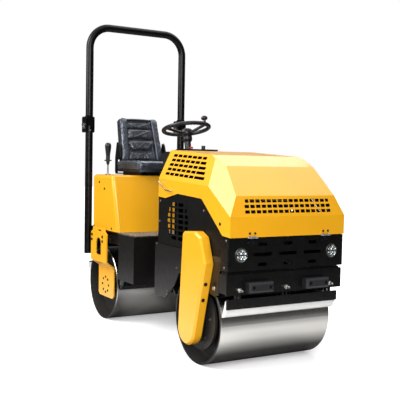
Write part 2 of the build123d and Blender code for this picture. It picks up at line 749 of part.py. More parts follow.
save(pivot_yoke, "pivot_yoke")

with BuildPart() as pivot_pin:
    for base, height, radius in ((YOKE_LOWER - 8, 208 + 4, PIVOT_PIN), (YOKE_UPPER + YOKE_PLATE, 14, 38),
                                 (YOKE_LOWER - 10, 10, 34)):
        with BuildSketch(Plane.XY.offset(base)):
            with Locations((PIVOT_X, 0)):
                Circle(radius)
        extrude(amount=height)
save(pivot_pin, "pivot_pin")

BOSS_LOW, BOSS_HIGH = YOKE_LOWER + YOKE_PLATE + 6, YOKE_UPPER - 6
with BuildPart() as pivot_boss:
    with BuildSketch(Plane.XY.offset(BOSS_LOW)):
        with Locations((PIVOT_X, 0)):
            Circle(42)
    extrude(amount=BOSS_HIGH - BOSS_LOW)
    with BuildSketch(Plane.XY.offset(BOSS_LOW + 20)):
        with BuildLine():
            Polyline((-140, -30), (-140, 110), (10, 30), (10, -30), close=True)
        make_face()
    extrude(amount=BOSS_HIGH - BOSS_LOW - 40)
    with BuildSketch(Plane.XY.offset(BOSS_LOW)):
        with Locations((PIVOT_X, 0)):
            Circle(PIVOT_PIN + RUNNING)
    extrude(amount=BOSS_HIGH - BOSS_LOW, mode=Mode.SUBTRACT)
save(pivot_boss, "pivot_boss")

# steering cylinder, drawn at rest along the line from its foot to its eye
reach = Vector(EYE[0] - CYLINDER_FOOT[0], EYE[1] - CYLINDER_FOOT[1], 0)
cylinder_line = Plane(
    origin=(CYLINDER_FOOT[0], CYLINDER_FOOT[1], CYLINDER_Z), x_dir=(0, 0, 1), z_dir=reach.normalized()
)
BARREL_RADIUS, ROD_RADIUS = 24, 11


def ring(x, y, low, high, outer, bore):
    """Ring about a vertical axis, added to the part being built."""
    with BuildSketch(Plane.XY.offset(low)) as eye:
        with Locations((x, y)):
            Circle(outer)
            Circle(bore, mode=Mode.SUBTRACT)
    extrude(eye.sketch, amount=high - low)


with BuildPart() as steering_barrel:
    with BuildSketch(cylinder_line.offset(16)):
        Circle(BARREL_RADIUS)
    extrude(amount=214)
    with BuildSketch(cylinder_line.offset(120)):
        Circle(ROD_RADIUS + RUNNING)
    extrude(amount=110, mode=Mode.SUBTRACT)
    with BuildSketch(cylinder_line.offset(60)):
        Circle(18)
    extrude(amount=60, mode=Mode.SUBTRACT)
    ring(*CYLINDER_FOOT, CYLINDER_Z - 16, CYLINDER_Z + 16, 22, 0.5)
    with BuildSketch(Plane.XY.offset(CYLINDER_Z - 26)):
        with Locations(CYLINDER_FOOT):
            Circle(FOOT_PIN + RUNNING)
    extrude(amount=52, mode=Mode.SUBTRACT)
save(steering_barrel, "steering_barrel")

with BuildPart() as steering_rod:
    with BuildSketch(cylinder_line.offset(reach.length - 290)):
        Circle(ROD_RADIUS)
    extrude(amount=290 - EYE_BORE - 4)
    ring(*EYE, CYLINDER_Z - 14, CYLINDER_Z + 14, EYE_BORE + 9, EYE_BORE)
save(steering_rod, "steering_rod")

# ---- rear frame ----------------------------------------------------------------------------
BOX_REAR, BOX_FRONT, BOX_BASE = -400, -140, 355
TAIL_BASE = 600
ARM_UPPER, ARM_LOWER = 450, 380         # outer face of the rear arms above and below the joggle
STANDOFFS = ((-858, 651), (-858, 614), (-648, 649), (-648, 614))       # x, z
STANDOFF_RADIUS = 13
with BuildPart() as rear_frame:
    for side in SIDES.values():
        plane, depth = wall(side, TAIL_HALF - 10, TAIL_HALF)
        tail = [(-1086, BEAM_BASE + 4), (-1086, FLOOR_Z), (-428, FLOOR_Z), (-428, TAIL_BASE),
                (-1036, TAIL_BASE), (-1036, BEAM_BASE + 4)]
        extrude(outline(tail, plane), amount=depth)
        plane, depth = wall(side, FRAME_HALF - 10, FRAME_HALF)
        top = FLOOR_Z - 8
        cheek = [(BOX_REAR, BOX_BASE), (BOX_REAR, top), (BOX_FRONT, top), (BOX_FRONT, BOX_BASE)]
        extrude(outline(cheek, plane), amount=depth)
    block((BOX_REAR - 10, -FRAME_HALF, BOX_BASE), (BOX_REAR, FRAME_HALF, FLOOR_Z - 8))
    block((BOX_FRONT - 10, -FRAME_HALF, BOX_BASE), (BOX_FRONT, FRAME_HALF, FLOOR_Z - 8))
    block((BOX_REAR, -FRAME_HALF, BOX_BASE), (BOX_FRONT, FRAME_HALF, BOX_BASE + 8))
    block((-1086, -TAIL_HALF, FLOOR_Z - 8), (-428, TAIL_HALF, FLOOR_Z))
    for side in SIDES.values():
        y_low, y_high = sorted((side * (TAIL_HALF - 10), side * TAIL_HALF))
        block((-428, y_low, TAIL_BASE), (BOX_REAR - 10, y_high, FLOOR_Z - 8))
    y = CYLINDER_FOOT[1]
    block((BOX_FRONT - 20, y - 54, CYLINDER_Z - 50), (BOX_FRONT + 10, y + 40, CYLINDER_Z + 50),
          mode=Mode.SUBTRACT)
    for side in SIDES.values():
        for x, z in STANDOFFS:
            across(x, z, *sorted((side * (TAIL_HALF - 10), side * (ARM_UPPER - PLATE))), STANDOFF_RADIUS)
    for base in (CYLINDER_Z - 40, CYLINDER_Z + 26):
        x, y = CYLINDER_FOOT
        ear = [(BOX_REAR, y - 40), (BOX_REAR, y + 40), (x + 10, y + 20), (x + 20, y), (x + 10, y - 20)]
        extrude(outline(ear, Plane.XY.offset(base)), amount=14)
    with BuildSketch(Plane.XY.offset(CYLINDER_Z - 40)):
        with Locations(CYLINDER_FOOT):
            Circle(FOOT_PIN)
    extrude(amount=80)
save(rear_frame, "rear_frame")

with BuildPart() as floor_plate:
    block((-428, -FRAME_HALF, FLOOR_Z - 8), (BOX_FRONT, FRAME_HALF, FLOOR_Z))
save(floor_plate, "floor_plate")

SEAT_BOX_OUTLINE = [        # x, z round the seat box
    (-932, FLOOR_Z),
    (-932, DECK_Z),
    (-552, DECK_Z),
    (-424, FLOOR_Z),
]
BOX_TOP_RADIUS, BOX_CORNER_RADIUS = 18, 30


def seat_box_block(inset):
    """Solid seat box with rounded top and front corners, moved inwards by an inset."""
    half = FRAME_HALF - inset
    with BuildPart() as body:
        with BuildSketch(upright(half)) as section:
            with BuildLine():
                Polyline(*SEAT_BOX_OUTLINE, close=True)
            make_face()
            fillet(section.vertices().group_by(Axis.Y)[-1], BOX_TOP_RADIUS)
            if inset:
                offset(amount=-inset)
        extrude(section.sketch, amount=2 * half)
        corners = body.edges().filter_by(lambda edge: edge.center().X > -540 and edge.length > 200)
        fillet(corners.filter_by(lambda edge: abs(edge.tangent_at(0.5).Y) < 0.1), BOX_CORNER_RADIUS - inset)
    return body.part


with BuildPart() as seat_box:
    add(seat_box_block(0))
    add(seat_box_block(SHEET), mode=Mode.SUBTRACT)
    block((-920, -400, FLOOR_Z - 10), (-440, 400, FLOOR_Z + 20), mode=Mode.SUBTRACT)
save(seat_box, "seat_box")

# ---- rear arms -----------------------------------------------------------------------------
ARM_REAR, ARM_FRONT = -883, -572
ARM_SHAPE = [
    (-883, 192),
    (-883, 672),
    (-846, 690),
    (-838, 717),
    (-620, 717),
    (-612, 690),
    (-572, 672),
    (-572, 440),
    (-585, 400),
    (-585, 192),
    (-611, 168),
    (-857, 168),
]
with BuildPart() as rear_arms:
    fold = [
        (ARM_UPPER, 720),
        (ARM_UPPER, 453),
        (ARM_LOWER, 404),
        (ARM_LOWER, 160),
        (ARM_LOWER - PLATE, 160),
        (ARM_LOWER - PLATE, 410),
        (ARM_UPPER - PLATE, 459),
        (ARM_UPPER - PLATE, 720),
    ]
    for side in SIDES.values():
        section = outline([(side * y, z) for y, z in fold], Plane.YZ.offset(ARM_REAR))
        extrude(section, amount=ARM_FRONT - ARM_REAR)
    extrude(outline(ARM_SHAPE, upright(500)), amount=1000, mode=Mode.INTERSECT)
    with BuildSketch(upright(500)) as slot:
        with Locations((-731, 571)):
            Rectangle(104, 134)
        fillet(slot.vertices().group_by(Axis.Y)[-1], 50)
        fillet(slot.vertices().group_by(Axis.Y)[0], 12)
        with Locations((-714, 694)):
            Rectangle(68, 13)
    extrude(amount=1000, mode=Mode.SUBTRACT)
save(rear_arms, "rear_arms")

with BuildPart() as rear_hubs:
    for side in SIDES.values():
        across(-AXLE_X, DRUM_RADIUS, *sorted((side * 330, side * (ARM_LOWER - PLATE))), 84)
        across(-AXLE_X, DRUM_RADIUS, *sorted((side * 240, side * 340)), STUB_RADIUS)
save(rear_hubs, "rear_hubs")

# ---- seat and lever ------------------------------------------------------------------------
SEAT_PAN_TOP, CUSHION_TOP, CUSHION_CORNER = 1150, 1238, 30
BACK_FOOT = (-869, 0, 1236)             # middle of the backrest's front edge, at its foot
BACK_TILT = 16.4
BACK_LOW_HALF, BACK_HIGH_HALF, BACK_HEIGHT, BACK_DEPTH = 192, 167, 369, 66
BACK_CORNER, BACK_CLEAR = 32, 4


def back_rear(z):
    """Where the backrest's rear face is, along the machine, at a height."""
    tilt = radians(BACK_TILT)
    return BACK_FOOT[0] - BACK_DEPTH / cos(tilt) - (z - BACK_FOOT[2]) * tan(tilt)


STAY_HALF, STAY_SHEET = 105, 9
STAY_LOW, STAY_TOP = CUSHION_TOP, 1420
STAY_OUTLINE = [            # x, z round the bent stay behind the backrest
    (-890, 1131),
    (-890, 1141),
    (back_rear(STAY_LOW), 1141),
    (back_rear(STAY_LOW), STAY_LOW),
    (back_rear(STAY_TOP), STAY_TOP),
    (back_rear(STAY_TOP) - STAY_SHEET, STAY_TOP),
    (back_rear(STAY_LOW) - STAY_SHEET, STAY_LOW),
    (back_rear(STAY_LOW) - STAY_SHEET, 1131),
]
RECLINER_INNER, RECLINER_OUTER = 200, 212
RECLINER_OUTLINE = [        # x, z round the side plates that hold the backrest
    (-936, 1131),
    (-936, 1246),
    (-864, 1246),
    (-866, 1268),
    (-908, 1374),
    (-925, 1388),
    (-944, 1382),
    (-972, 1262),
    (-972, 1150),
    (-960, 1131),
]
with BuildPart() as seat_base:
    block((-900, -170, DECK_Z), (-560, 170, SEAT_PAN_TOP))
    extrude(outline(STAY_OUTLINE, upright(STAY_HALF)), amount=2 * STAY_HALF)
    block((-960, -RECLINER_OUTER, 1131), (-890, RECLINER_OUTER, 1141))
    for side in SIDES.values():
        plane, depth = wall(side, RECLINER_INNER, RECLINER_OUTER)
        extrude(outline(RECLINER_OUTLINE, plane), amount=depth)
save(seat_base, "seat_base")

with BuildPart() as seat_cushion:
    block((-930, -230, SEAT_PAN_TOP), (-500, 230, CUSHION_TOP))
    chamfer(seat_cushion.edges().filter_by(Axis.Z), CUSHION_CORNER)
save(seat_cushion, "seat_cushion")

with BuildPart() as seat_back:
    lean = (cos(radians(BACK_TILT)), 0, sin(radians(BACK_TILT)))
    with BuildSketch(Plane(origin=BACK_FOOT, x_dir=(0, 1, 0), z_dir=lean)) as face:
        with BuildLine():
            Polyline((-BACK_LOW_HALF, -25), (BACK_LOW_HALF, -25), (BACK_HIGH_HALF, BACK_HEIGHT),
                     (-BACK_HIGH_HALF, BACK_HEIGHT), close=True)
        make_face()
        chamfer(face.vertices().group_by(Axis.Y)[-1], BACK_CORNER)
    extrude(face.sketch, amount=-BACK_DEPTH)
    block((-1100, -BACK_LOW_HALF - 10, 1150), (-800, BACK_LOW_HALF + 10, CUSHION_TOP + BACK_CLEAR),
          mode=Mode.SUBTRACT)
save(seat_back, "seat_back")

LEVER = (-758, -365)
LEVER_ROD, LEVER_TOP = 6, 1350
GROMMET_RADIUS, GROMMET_HEIGHT = 20, 7
GRIP_PROFILE = [            # radius, z: collar, flange, waist and head of the grip
    (LEVER_ROD, 1204),
    (9, 1204),
    (15, 1232),
    (29, 1234),
    (29, 1240),
    (16, 1244),
    (16, 1275),
    (23, 1330),
    (25, 1352),
    (21, 1368),
    (10, 1376),
    (0, 1376),
    (0, LEVER_TOP),
    (LEVER_ROD, LEVER_TOP),
]
with BuildPart() as drive_lever:
    with BuildSketch(Plane.XY.offset(DECK_Z)):
        with Locations(LEVER):
            Circle(LEVER_ROD)
    extrude(amount=LEVER_TOP - DECK_Z)
    with BuildSketch(Plane.XY.offset(DECK_Z)):
        with Locations(LEVER):
            Circle(GROMMET_RADIUS)
    extrude(amount=GROMMET_HEIGHT)
save(drive_lever, "drive_lever")

with BuildPart() as lever_grip:
    revolve(turned(GRIP_PROFILE, Plane(origin=(*LEVER, 0))), axis=Axis((*LEVER, 0), (0, 0, 1)))
save(lever_grip, "lever_grip")

# ---- roll bar ------------------------------------------------------------------------------
with BuildPart() as roll_bar_lower:
    for side in SIDES.values():
        centre = (BAR_X, side * BAR_Y)
        with BuildSketch(Plane.XY.offset(BAR_FOOT)):
            with Locations(centre):
                Circle(BAR_RADIUS)
        extrude(amount=BAR_JOIN - BAR_FOOT)
        y_low, y_high = sorted((side * TAIL_HALF, side * 405))
        for z in (530, 650):
            block((BAR_X - 26, y_low, z - 30), (BAR_X + 26, y_high, z + 30))
        for offset_y in (-CHEEK_OUTER, CHEEK_INNER):
            y = side * BAR_Y + offset_y
            with BuildSketch(upright(y + CHEEK_OUTER - CHEEK_INNER)):
                with Locations(((FOLD_X + BAR_X) / 2 - 4, (CHEEK_BASE + CHEEK_TOP) / 2)):
                    RectangleRounded(92, CHEEK_TOP - CHEEK_BASE, 16)
                with Locations((FOLD_X, FOLD_Z)):
                    Circle(8 + RUNNING, mode=Mode.SUBTRACT)
            extrude(amount=CHEEK_OUTER - CHEEK_INNER)
save(roll_bar_lower, "roll_bar_lower")

with BuildPart() as roll_bar_pins:
    for side in SIDES.values():
        middle = side * BAR_Y
        across(FOLD_X, FOLD_Z, middle - CHEEK_OUTER - 1, middle + CHEEK_OUTER + 1, 8)
        across(FOLD_X, FOLD_Z, middle - CHEEK_OUTER - 10, middle - CHEEK_OUTER, 14)
        across(FOLD_X, FOLD_Z, middle + CHEEK_OUTER, middle + CHEEK_OUTER + 10, 14)
save(roll_bar_pins, "roll_bar_pins")

with BuildPart() as roll_bar_upper:
    with BuildLine() as hoop:
        FilletPolyline(
            (BAR_X, -BAR_Y, 1597), (BAR_X, -BAR_Y, BAR_TOP), (BAR_X, BAR_Y, BAR_TOP), (BAR_X, BAR_Y, 1597),
            radius=BAR_BEND,
        )
    with BuildSketch(Plane.XY.offset(1597)):
        with Locations((BAR_X, -BAR_Y)):
            Circle(BAR_RADIUS)
    sweep(path=hoop.line)
    for side in SIDES.values():
        y = side * BAR_Y
        block((FOLD_X, y - 22, FOLD_Z - 12), (BAR_X + 26, y + 22, 1600))
        across(FOLD_X, FOLD_Z, y - 22, y + 22, 12)
        across(FOLD_X, FOLD_Z, y - 22, y + 22, 8 + RUNNING, mode=Mode.SUBTRACT)
save(roll_bar_upper, "roll_bar_upper")
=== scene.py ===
"""Finish and small parts of a ride-on double-drum road roller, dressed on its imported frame.

Metres throughout. +X is forward, +Y is the machine's left and +Z is up from the ground.
"""

import json
import logging
from dataclasses import dataclass
from enum import Enum
from math import cos, pi, radians, sin
from typing import Any, Callable, Optional, Sequence

import bmesh
import bpy
from bpy.types import Material, MeshPolygon, Node, NodeSocket, Object
from mathutils import Matrix, Vector

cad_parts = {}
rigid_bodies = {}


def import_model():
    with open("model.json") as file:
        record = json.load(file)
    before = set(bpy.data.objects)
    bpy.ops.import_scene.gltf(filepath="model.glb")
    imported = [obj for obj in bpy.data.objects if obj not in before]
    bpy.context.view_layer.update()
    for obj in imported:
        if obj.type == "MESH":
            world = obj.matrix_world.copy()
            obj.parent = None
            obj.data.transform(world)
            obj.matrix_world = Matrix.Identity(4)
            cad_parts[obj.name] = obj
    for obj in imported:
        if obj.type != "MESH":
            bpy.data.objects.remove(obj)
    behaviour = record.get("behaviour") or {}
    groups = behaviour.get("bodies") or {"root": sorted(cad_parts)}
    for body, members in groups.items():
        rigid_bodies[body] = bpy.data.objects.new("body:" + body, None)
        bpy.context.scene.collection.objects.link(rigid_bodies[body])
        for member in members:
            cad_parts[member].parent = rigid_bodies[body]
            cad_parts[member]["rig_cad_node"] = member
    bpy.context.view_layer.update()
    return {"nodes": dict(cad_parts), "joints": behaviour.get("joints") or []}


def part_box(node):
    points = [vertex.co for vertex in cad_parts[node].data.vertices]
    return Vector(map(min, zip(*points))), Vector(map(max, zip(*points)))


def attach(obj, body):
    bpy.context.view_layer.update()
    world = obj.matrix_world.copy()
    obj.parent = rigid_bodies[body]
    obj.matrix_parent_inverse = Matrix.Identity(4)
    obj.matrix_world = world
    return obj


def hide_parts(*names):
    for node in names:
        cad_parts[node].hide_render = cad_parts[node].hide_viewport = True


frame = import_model()
LOG = logging.getLogger("roller")
NODES = frame["nodes"]
JOINTS = {joint["name"]: joint for joint in frame["joints"]}
BMesh = bmesh.types.BMesh
Point = tuple[float, float, float]
Flat = tuple[float, float]
Slab = tuple[Sequence[Flat], float, float]      # outline, low, high
Fold = tuple[Flat, Flat, float, float]          # start, end, width, height
SIDES = (-1, 1)             # the machine's right and left
ACROSS: Point = (0, 1, 0)   # looks from outside at either side, at the front and at the back
FROM_FRONT: Point = (-1, 0, 0)
FROM_BACK: Point = (1, 0, 0)
HINGE_KNUCKLE = 0.0085      # radius that the hood hinges' knuckles stay inside
FOLD_ANGLE = 30.0           # degrees between faces past which sheet metal has a rounded edge


# ---- colour and shader helpers -------------------------------------------------------------
def linear(code: str) -> tuple[float, float, float, float]:
    """Turns an sRGB hex colour into linear light.

    Args:
        code: Colour written as #RRGGBB.

    Returns:
        Linear red, green and blue, with an alpha of 1.
    """
    shares = [int(code[start:start + 2], 16) / 255 for start in (1, 3, 5)]
    red, green, blue = [s / 12.92 if s <= 0.04045 else ((s + 0.055) / 1.055) ** 2.4 for s in shares]
    return red, green, blue, 1.0


def wire(
    node: Node,
    settings: dict[Any, Any],
    links: Optional[dict[Any, NodeSocket]] = None,
) -> Node:
    """Sets the values of a shader node and feeds its inputs.

    Args:
        node: The node.
        settings: Values by property name, or by input name or number.
        links: Output sockets by the input, name or number, that each one feeds.

    Returns:
        The same node.
    """
    for name, value in settings.items():
        if isinstance(name, str) and hasattr(node, name):
            setattr(node, name, value)
        else:
            node.inputs[name].default_value = value
    for name, source in (links or {}).items():
        node.id_data.links.new(source, node.inputs[name])
    return node


def add_node(
    beside: Node,
    kind: str,
    settings: dict[Any, Any],
    links: Optional[dict[Any, NodeSocket]] = None,
) -> Node:
    """Adds one shader node with its settings and links.

    Args:
        beside: A node of the tree that gets the new one.
        kind: Blender's name for the type of node, without ShaderNode before it.
        settings: Values, as wire takes them.
        links: Output sockets, as wire takes them.

    Returns:
        The new node.
    """
    return wire(beside.id_data.nodes.new("ShaderNode" + kind), settings, links)


# ---- finishes ------------------------------------------------------------------------------
@dataclass(frozen=True)
class Finish:
    """What every finish has: a maker's name, the record's slot, a colour and a gloss."""

    name: str
    slot: str
    colour: str
    roughness: float
    metallic: float = 0.0

    def material(self) -> Material:
        """Builds the material the first time, and hands back the same one after that.

        Returns:
            The material.
        """
        found = bpy.data.materials.get(self.name)
        if found:
            return found
        made = bpy.data.materials.new(self.name)
        made.use_nodes = True
        shader = made.node_tree.nodes["Principled BSDF"]
        wire(shader, {"Base Color": linear(self.colour), "Roughness": self.roughness,
                      "Metallic": self.metallic})
        self.shade(shader)
        return made

    def shade(self, shader: Node) -> None:
        """Adds the finish's own pattern; a finish with none keeps the plain shader."""

    def dress(self, *pieces: Object) -> None:
        """Gives every surface of some objects this finish.

        Args:
            pieces: New pieces or nodes of the frame.
        """
        for target in pieces:
            for slot in target.material_slots:
                slot.material = self.material()
            if not target.material_slots:
                target.data.materials.append(self.material())

    def coat(self, *names: str) -> None:
        """Gives the nodes of these names this finish."""
        self.dress(*(NODES[name] for name in names))

    def pattern(self, shader: Node, size_mm: float, detail: float = 2.0,
                stretch: Point = (1, 1, 1)) -> NodeSocket:
        """Adds a noise whose blotches have a real size.

        Args:
            shader: The material's shader.
            size_mm: Width of one blotch in millimetres.
            detail: How much finer structure rides on it.
            stretch: Share of that width along each axis, inverted: a larger number is finer.

        Returns:
            The noise's value, from 0 to 1.
        """
        place = add_node(shader, "TexCoord", {})
        scaled = add_node(shader, "Mapping", {"Scale": stretch}, {"Vector": place.outputs["Object"]})
        noise = add_node(shader, "TexNoise", {"Scale": 1000 / size_mm, "Detail": detail},
                         {"Vector": scaled.outputs["Vector"]})
        return noise.outputs["Fac"]

    def cells(self, shader: Node, size_mm: float) -> Node:
        """Adds a pattern of cells.

        Args:
            shader: The material's shader.
            size_mm: Width of one cell in millimetres.

        Returns:
            The node, with a value and a colour for each cell.
        """
        place = add_node(shader, "TexCoord", {})
        return add_node(shader, "TexVoronoi", {"Scale": 1000 / size_mm},
                        {"Vector": place.outputs["Object"]})

    def between(self, shader: Node, value: NodeSocket, low: float, high: float) -> NodeSocket:
        """Spreads the middle of a noise, 0.3 to 0.7, over a range.

        Args:
            shader: The material's shader.
            value: The noise's value.
            low: What 0.3 turns to.
            high: What 0.7 turns to.

        Returns:
            The spread value.
        """
        spread = add_node(shader, "MapRange", {"From Min": 0.3, "From Max": 0.7, "To Min": low,
                                               "To Max": high}, {"Value": value})
        return spread.outputs["Result"]

    def scatter(self, shader: Node, value: NodeSocket, low: float, high: float) -> None:
        """Spreads the roughness over a noise, from low to high times the finish's own."""
        rough = self.between(shader, value, self.roughness * low, self.roughness * high)
        wire(shader, {}, {"Roughness": rough})

    def mix(self, shader: Node, factor: NodeSocket, other: str) -> None:
        """Mixes the finish's colour with another one.

        Args:
            shader: The material's shader.
            factor: How much of the other colour shows, from 0 to 1.
            other: The other colour in hex.
        """
        mixed = add_node(shader, "Mix", {"data_type": "RGBA", 6: linear(self.colour),
                                         7: linear(other)}, {0: factor})
        wire(shader, {}, {"Base Color": mixed.outputs[2]})

    def tint(self, shader: Node, value: NodeSocket, other: str, share: float) -> None:
        """Drifts the colour towards another one, by up to a share, where a noise is high."""
        self.mix(shader, self.between(shader, value, 0.0, share), other)

    def relief(self, shader: Node, value: NodeSocket, depth_mm: float,
               socket: str = "Normal") -> None:
        """Raises and sinks the surface, seen in its shading only.

        Args:
            shader: The material's shader.
            value: The pattern that is raised where it is high.
            depth_mm: The whole height in millimetres.
            socket: The normal that it turns, the surface's own or its coat's.
        """
        bump = add_node(shader, "Bump", {"Strength": 1.0, "Distance": depth_mm / 1000},
                        {"Height": value})
        wire(shader, {}, {socket: bump.outputs["Normal"]})


@dataclass(frozen=True)
class PowderCoat(Finish):
    """Polyester powder coat, baked on sheet steel: an even skin with slight orange peel."""

    deep: str = "#000000"           # colour where the coat lies thick
    gloss: float = 0.5              # weight of its clear skin
    peel_mm: float = 14.0           # orange peel is 2 to 3 mm wide; it is drawn wider so that it shows
    peel_depth: float = 0.03
    shine: float = 0.5
    passes_mm: float = 320.0        # width of the spray gun's passes
    scuff_mm: float = 45.0

    def shade(self, shader: Node) -> None:
        """Adds a drift in tone from the gun's passes, orange peel, and a clear skin.

        Args:
            shader: The material's shader.
        """
        self.tint(shader, self.pattern(shader, self.passes_mm, 3), self.deep, 0.35)
        self.scatter(shader, self.pattern(shader, self.scuff_mm, 5), 0.85, 1.2)
        self.relief(shader, self.pattern(shader, self.peel_mm, 1), self.peel_depth)
        wire(shader, {"Coat Weight": self.gloss, "Coat Roughness": 0.08,
                      "Specular IOR Level": self.shine})


@dataclass(frozen=True)
class TurnedSteel(Finish):
    """Steel turned on a lathe: fine grooves run round it and pull the highlights across them."""

    groove_mm: float = 4.0          # grooves are under 1 mm apart; they are drawn wider, and shallow
    stretch: Point = (0.02, 1, 0.02)
    groove_depth: float = 0.004
    smear_mm: float = 400.0
    smear: str = "#A8A5A0"

    def shade(self, shader: Node) -> None:
        """Adds fine grooves in relief, with wide faint smears where the ground polished it.

        Args:
            shader: The material's shader.
        """
        smears = self.pattern(shader, self.smear_mm, 2, (1, 0.4, 1))
        self.scatter(shader, smears, 0.95, 1.08)
        self.tint(shader, smears, self.smear, 0.12)
        self.relief(shader, self.pattern(shader, self.groove_mm, 2, self.stretch),
                    self.groove_depth)
        tangent = add_node(shader, "Tangent", {"direction_type": "RADIAL", "axis": "Y"})
        wire(shader, {"Anisotropic": 0.45}, {"Tangent": tangent.outputs["Tangent"]})


@dataclass(frozen=True)
class PlatedSteel(Finish):
    """Zinc, chrome or black oxide on a turned or rolled steel part."""

    cloud: str = "#8A8A88"
    cloud_mm: float = 9.0

    def shade(self, shader: Node) -> None:
        """Adds faint clouds from the plating bath.

        Args:
            shader: The material's shader.
        """
        clouds = self.pattern(shader, self.cloud_mm, 3)
        self.tint(shader, clouds, self.cloud, 0.3)
        self.scatter(shader, clouds, 0.8, 1.3)


@dataclass(frozen=True)
class Moulded(Finish):
    """Rubber, nylon or ABS from a mould: its grain takes the shine off."""

    grain_mm: float = 3.0           # mould grain is 1 mm wide; it is drawn wider so that it shows
    depth_mm: float = 0.12
    faded: str = "#2A2A2D"
    bloom_mm: float = 60.0

    def shade(self, shader: Node) -> None:
        """Adds mould grain in relief and a slight bloom on the surface.

        Args:
            shader: The material's shader.
        """
        self.relief(shader, self.pattern(shader, self.grain_mm, 2), self.depth_mm)
        self.tint(shader, self.pattern(shader, self.bloom_mm, 4), self.faded, 0.5)


@dataclass(frozen=True)
class SeatVinyl(Finish):
    """PVC-coated cloth, embossed as leather, still under its thin clear film."""

    film_mm: float = 90.0
    fold_haze_and_sheen: str = "#98A0AC"           # the film where it folds: partly the creased film's own haze, partly painted sheen
    grain_mm: float = 4.0           # leather grain is 1.5 mm wide; it is drawn wider so that it shows
    fold: float = 0.035             # how near the middle of the film's noise its folds lie

    def shade(self, shader: Node) -> None:
        """Adds leather grain, and a glossy coat whose thin folds throw glints and are tinted pale, partly
        the film's haze and partly painted sheen.

        Args:
            shader: The material's shader.
        """
        self.relief(shader, self.cells(shader, self.grain_mm).outputs["Distance"], 0.15)
        drift = self.pattern(shader, self.film_mm, 3, (1, 1.7, 0.8))
        middle = add_node(shader, "Math", {"operation": "SUBTRACT", 1: 0.5}, {0: drift})
        away = add_node(shader, "Math", {"operation": "ABSOLUTE"}, {0: middle.outputs[0]})
        fold = add_node(shader, "MapRange", {"From Min": 0.0, "From Max": self.fold, "To Min": 1.0,
                                             "To Max": 0.0}, {"Value": away.outputs[0]})
        # pale tint along the folds: partly the creased film's haze, partly a painted highlight
        pale = add_node(shader, "Math", {"operation": "MULTIPLY", 1: 0.14},
                        {0: fold.outputs["Result"]})
        self.mix(shader, pale.outputs[0], self.fold_haze_and_sheen)
        self.relief(shader, fold.outputs["Result"], 1.2, "Coat Normal")
        wire(shader, {"Coat Weight": 0.9, "Coat Roughness": 0.14, "Sheen Weight": 0.1})


@dataclass(frozen=True)
class ClearLens(Finish):
    """Polycarbonate lens: clear, with a hard bright skin."""

    flow_mm: float = 20.0

    def shade(self, shader: Node) -> None:
        """Lets light through, with faint flow marks in its gloss."""
        self.scatter(shader, self.pattern(shader, self.flow_mm, 2), 1, 2)
        wire(shader, {"Transmission Weight": 1.0, "IOR": 1.58})


@dataclass(frozen=True)
class HotGalvanised(Finish):
    """Steel tread plate dipped in zinc: grey with crystal spangles, rubbed bright by boots."""

    spangle_mm: float = 12.0

    def shade(self, shader: Node) -> None:
        """Adds spangles in tone and gloss.

        Args:
            shader: The material's shader.
        """
        spangle = self.cells(shader, self.spangle_mm)
        grey = add_node(shader, "SeparateColor", {}, {"Color": spangle.outputs["Color"]})
        self.tint(shader, grey.outputs["Red"], "#C9C7C2", 0.5)
        self.scatter(shader, grey.outputs["Green"], 1, 1.5)


AMBER_COAT = PowderCoat("amber powder coat", "yellow_paint", "#FFB81A", 0.36, deep="#F2A812")
BLACK_COAT = PowderCoat("black powder coat", "black_paint", "#0D0C0B", 0.3, deep="#090808",
                        gloss=0.3, shine=0.35)
PLATE_COAT = PowderCoat("wet black enamel on plate", "black_paint", "#141211", 0.42,
                        deep="#0F0E0D", peel_depth=0.008, shine=0.2)
DRUM_BLACK = PowderCoat("matt black paint in drum", "black_paint", "#2B2927", 0.5,
                        deep="#1D1C1A", gloss=0.0)
TUBE_COAT = PowderCoat("gloss black coat on tube", "black_paint", "#070707", 0.3,
                       deep="#050505", gloss=0.0, peel_depth=0.01, shine=0.3)
LOUVRE_COAT = PowderCoat("satin black coat on louvres", "black_paint", "#0D0C0B", 0.5,
                         deep="#090808", gloss=0.0, shine=0.15)
# matt black over the hood's inner side and slot walls: painted shade inside the hood and its vents
HOOD_SHADE_BLACK = PowderCoat("matt black lining", "black_paint", "#060606", 0.8, deep="#040404", gloss=0.0)
ROLLED_STEEL = TurnedSteel("rolled drum steel", "drum_steel", "#DAD8D4", 0.2, 1.0)
TURNED_PIN = TurnedSteel("turned pin steel", "bright_steel", "#B4B2AE", 0.3, 1.0, groove_mm=2.0,
                         stretch=(1, 1, 0.02))
ZINC = PlatedSteel("zinc plated steel", "bright_steel", "#DAD8D2", 0.26, 1.0, "#B4B2AC")
DULL_ZINC = PlatedSteel("passivated steel", "bright_steel", "#7F7E7B", 0.36, 1.0, "#5F5E5C")
BLACK_OXIDE = PlatedSteel("black oxide steel", "black_paint", "#15161B", 0.38, 0.6, "#232734")
CHROME = PlatedSteel("chromed steel wire", "chrome_wire", "#E6E6E8", 0.1, 1.0, "#CFCFD4")
REFLECTOR = PlatedSteel("aluminised reflector", "lamp", "#DADDE0", 0.14, 1.0, "#A9ACB0")
RUBBER = Moulded("moulded rubber", "rubber", "#191A1D", 0.5)
ABS_BLACK = Moulded("grained black ABS", "black_plastic", "#16171A", 0.36, grain_mm=4.0)
ABS_RED = Moulded("glossy red ABS", "black_plastic", "#B8141C", 0.25, depth_mm=0.02, faded="#9A0F16")
NYLON = Moulded("sawn white nylon", "nylon", "#F6F6F4", 0.4, depth_mm=0.05, faded="#E8E8E4")
CAST_IRON = Moulded("painted cast iron", "engine_iron", "#0F1011", 0.6, grain_mm=5.0, depth_mm=0.4,
                    faded="#161718")
LED_CHIP = Moulded("phosphor LED chip", "lamp", "#F6EDB0", 0.4, depth_mm=0.01, faded="#E9D98A")
VINYL = SeatVinyl("wrapped seat vinyl", "seat_vinyl", "#2A2E39", 0.45)
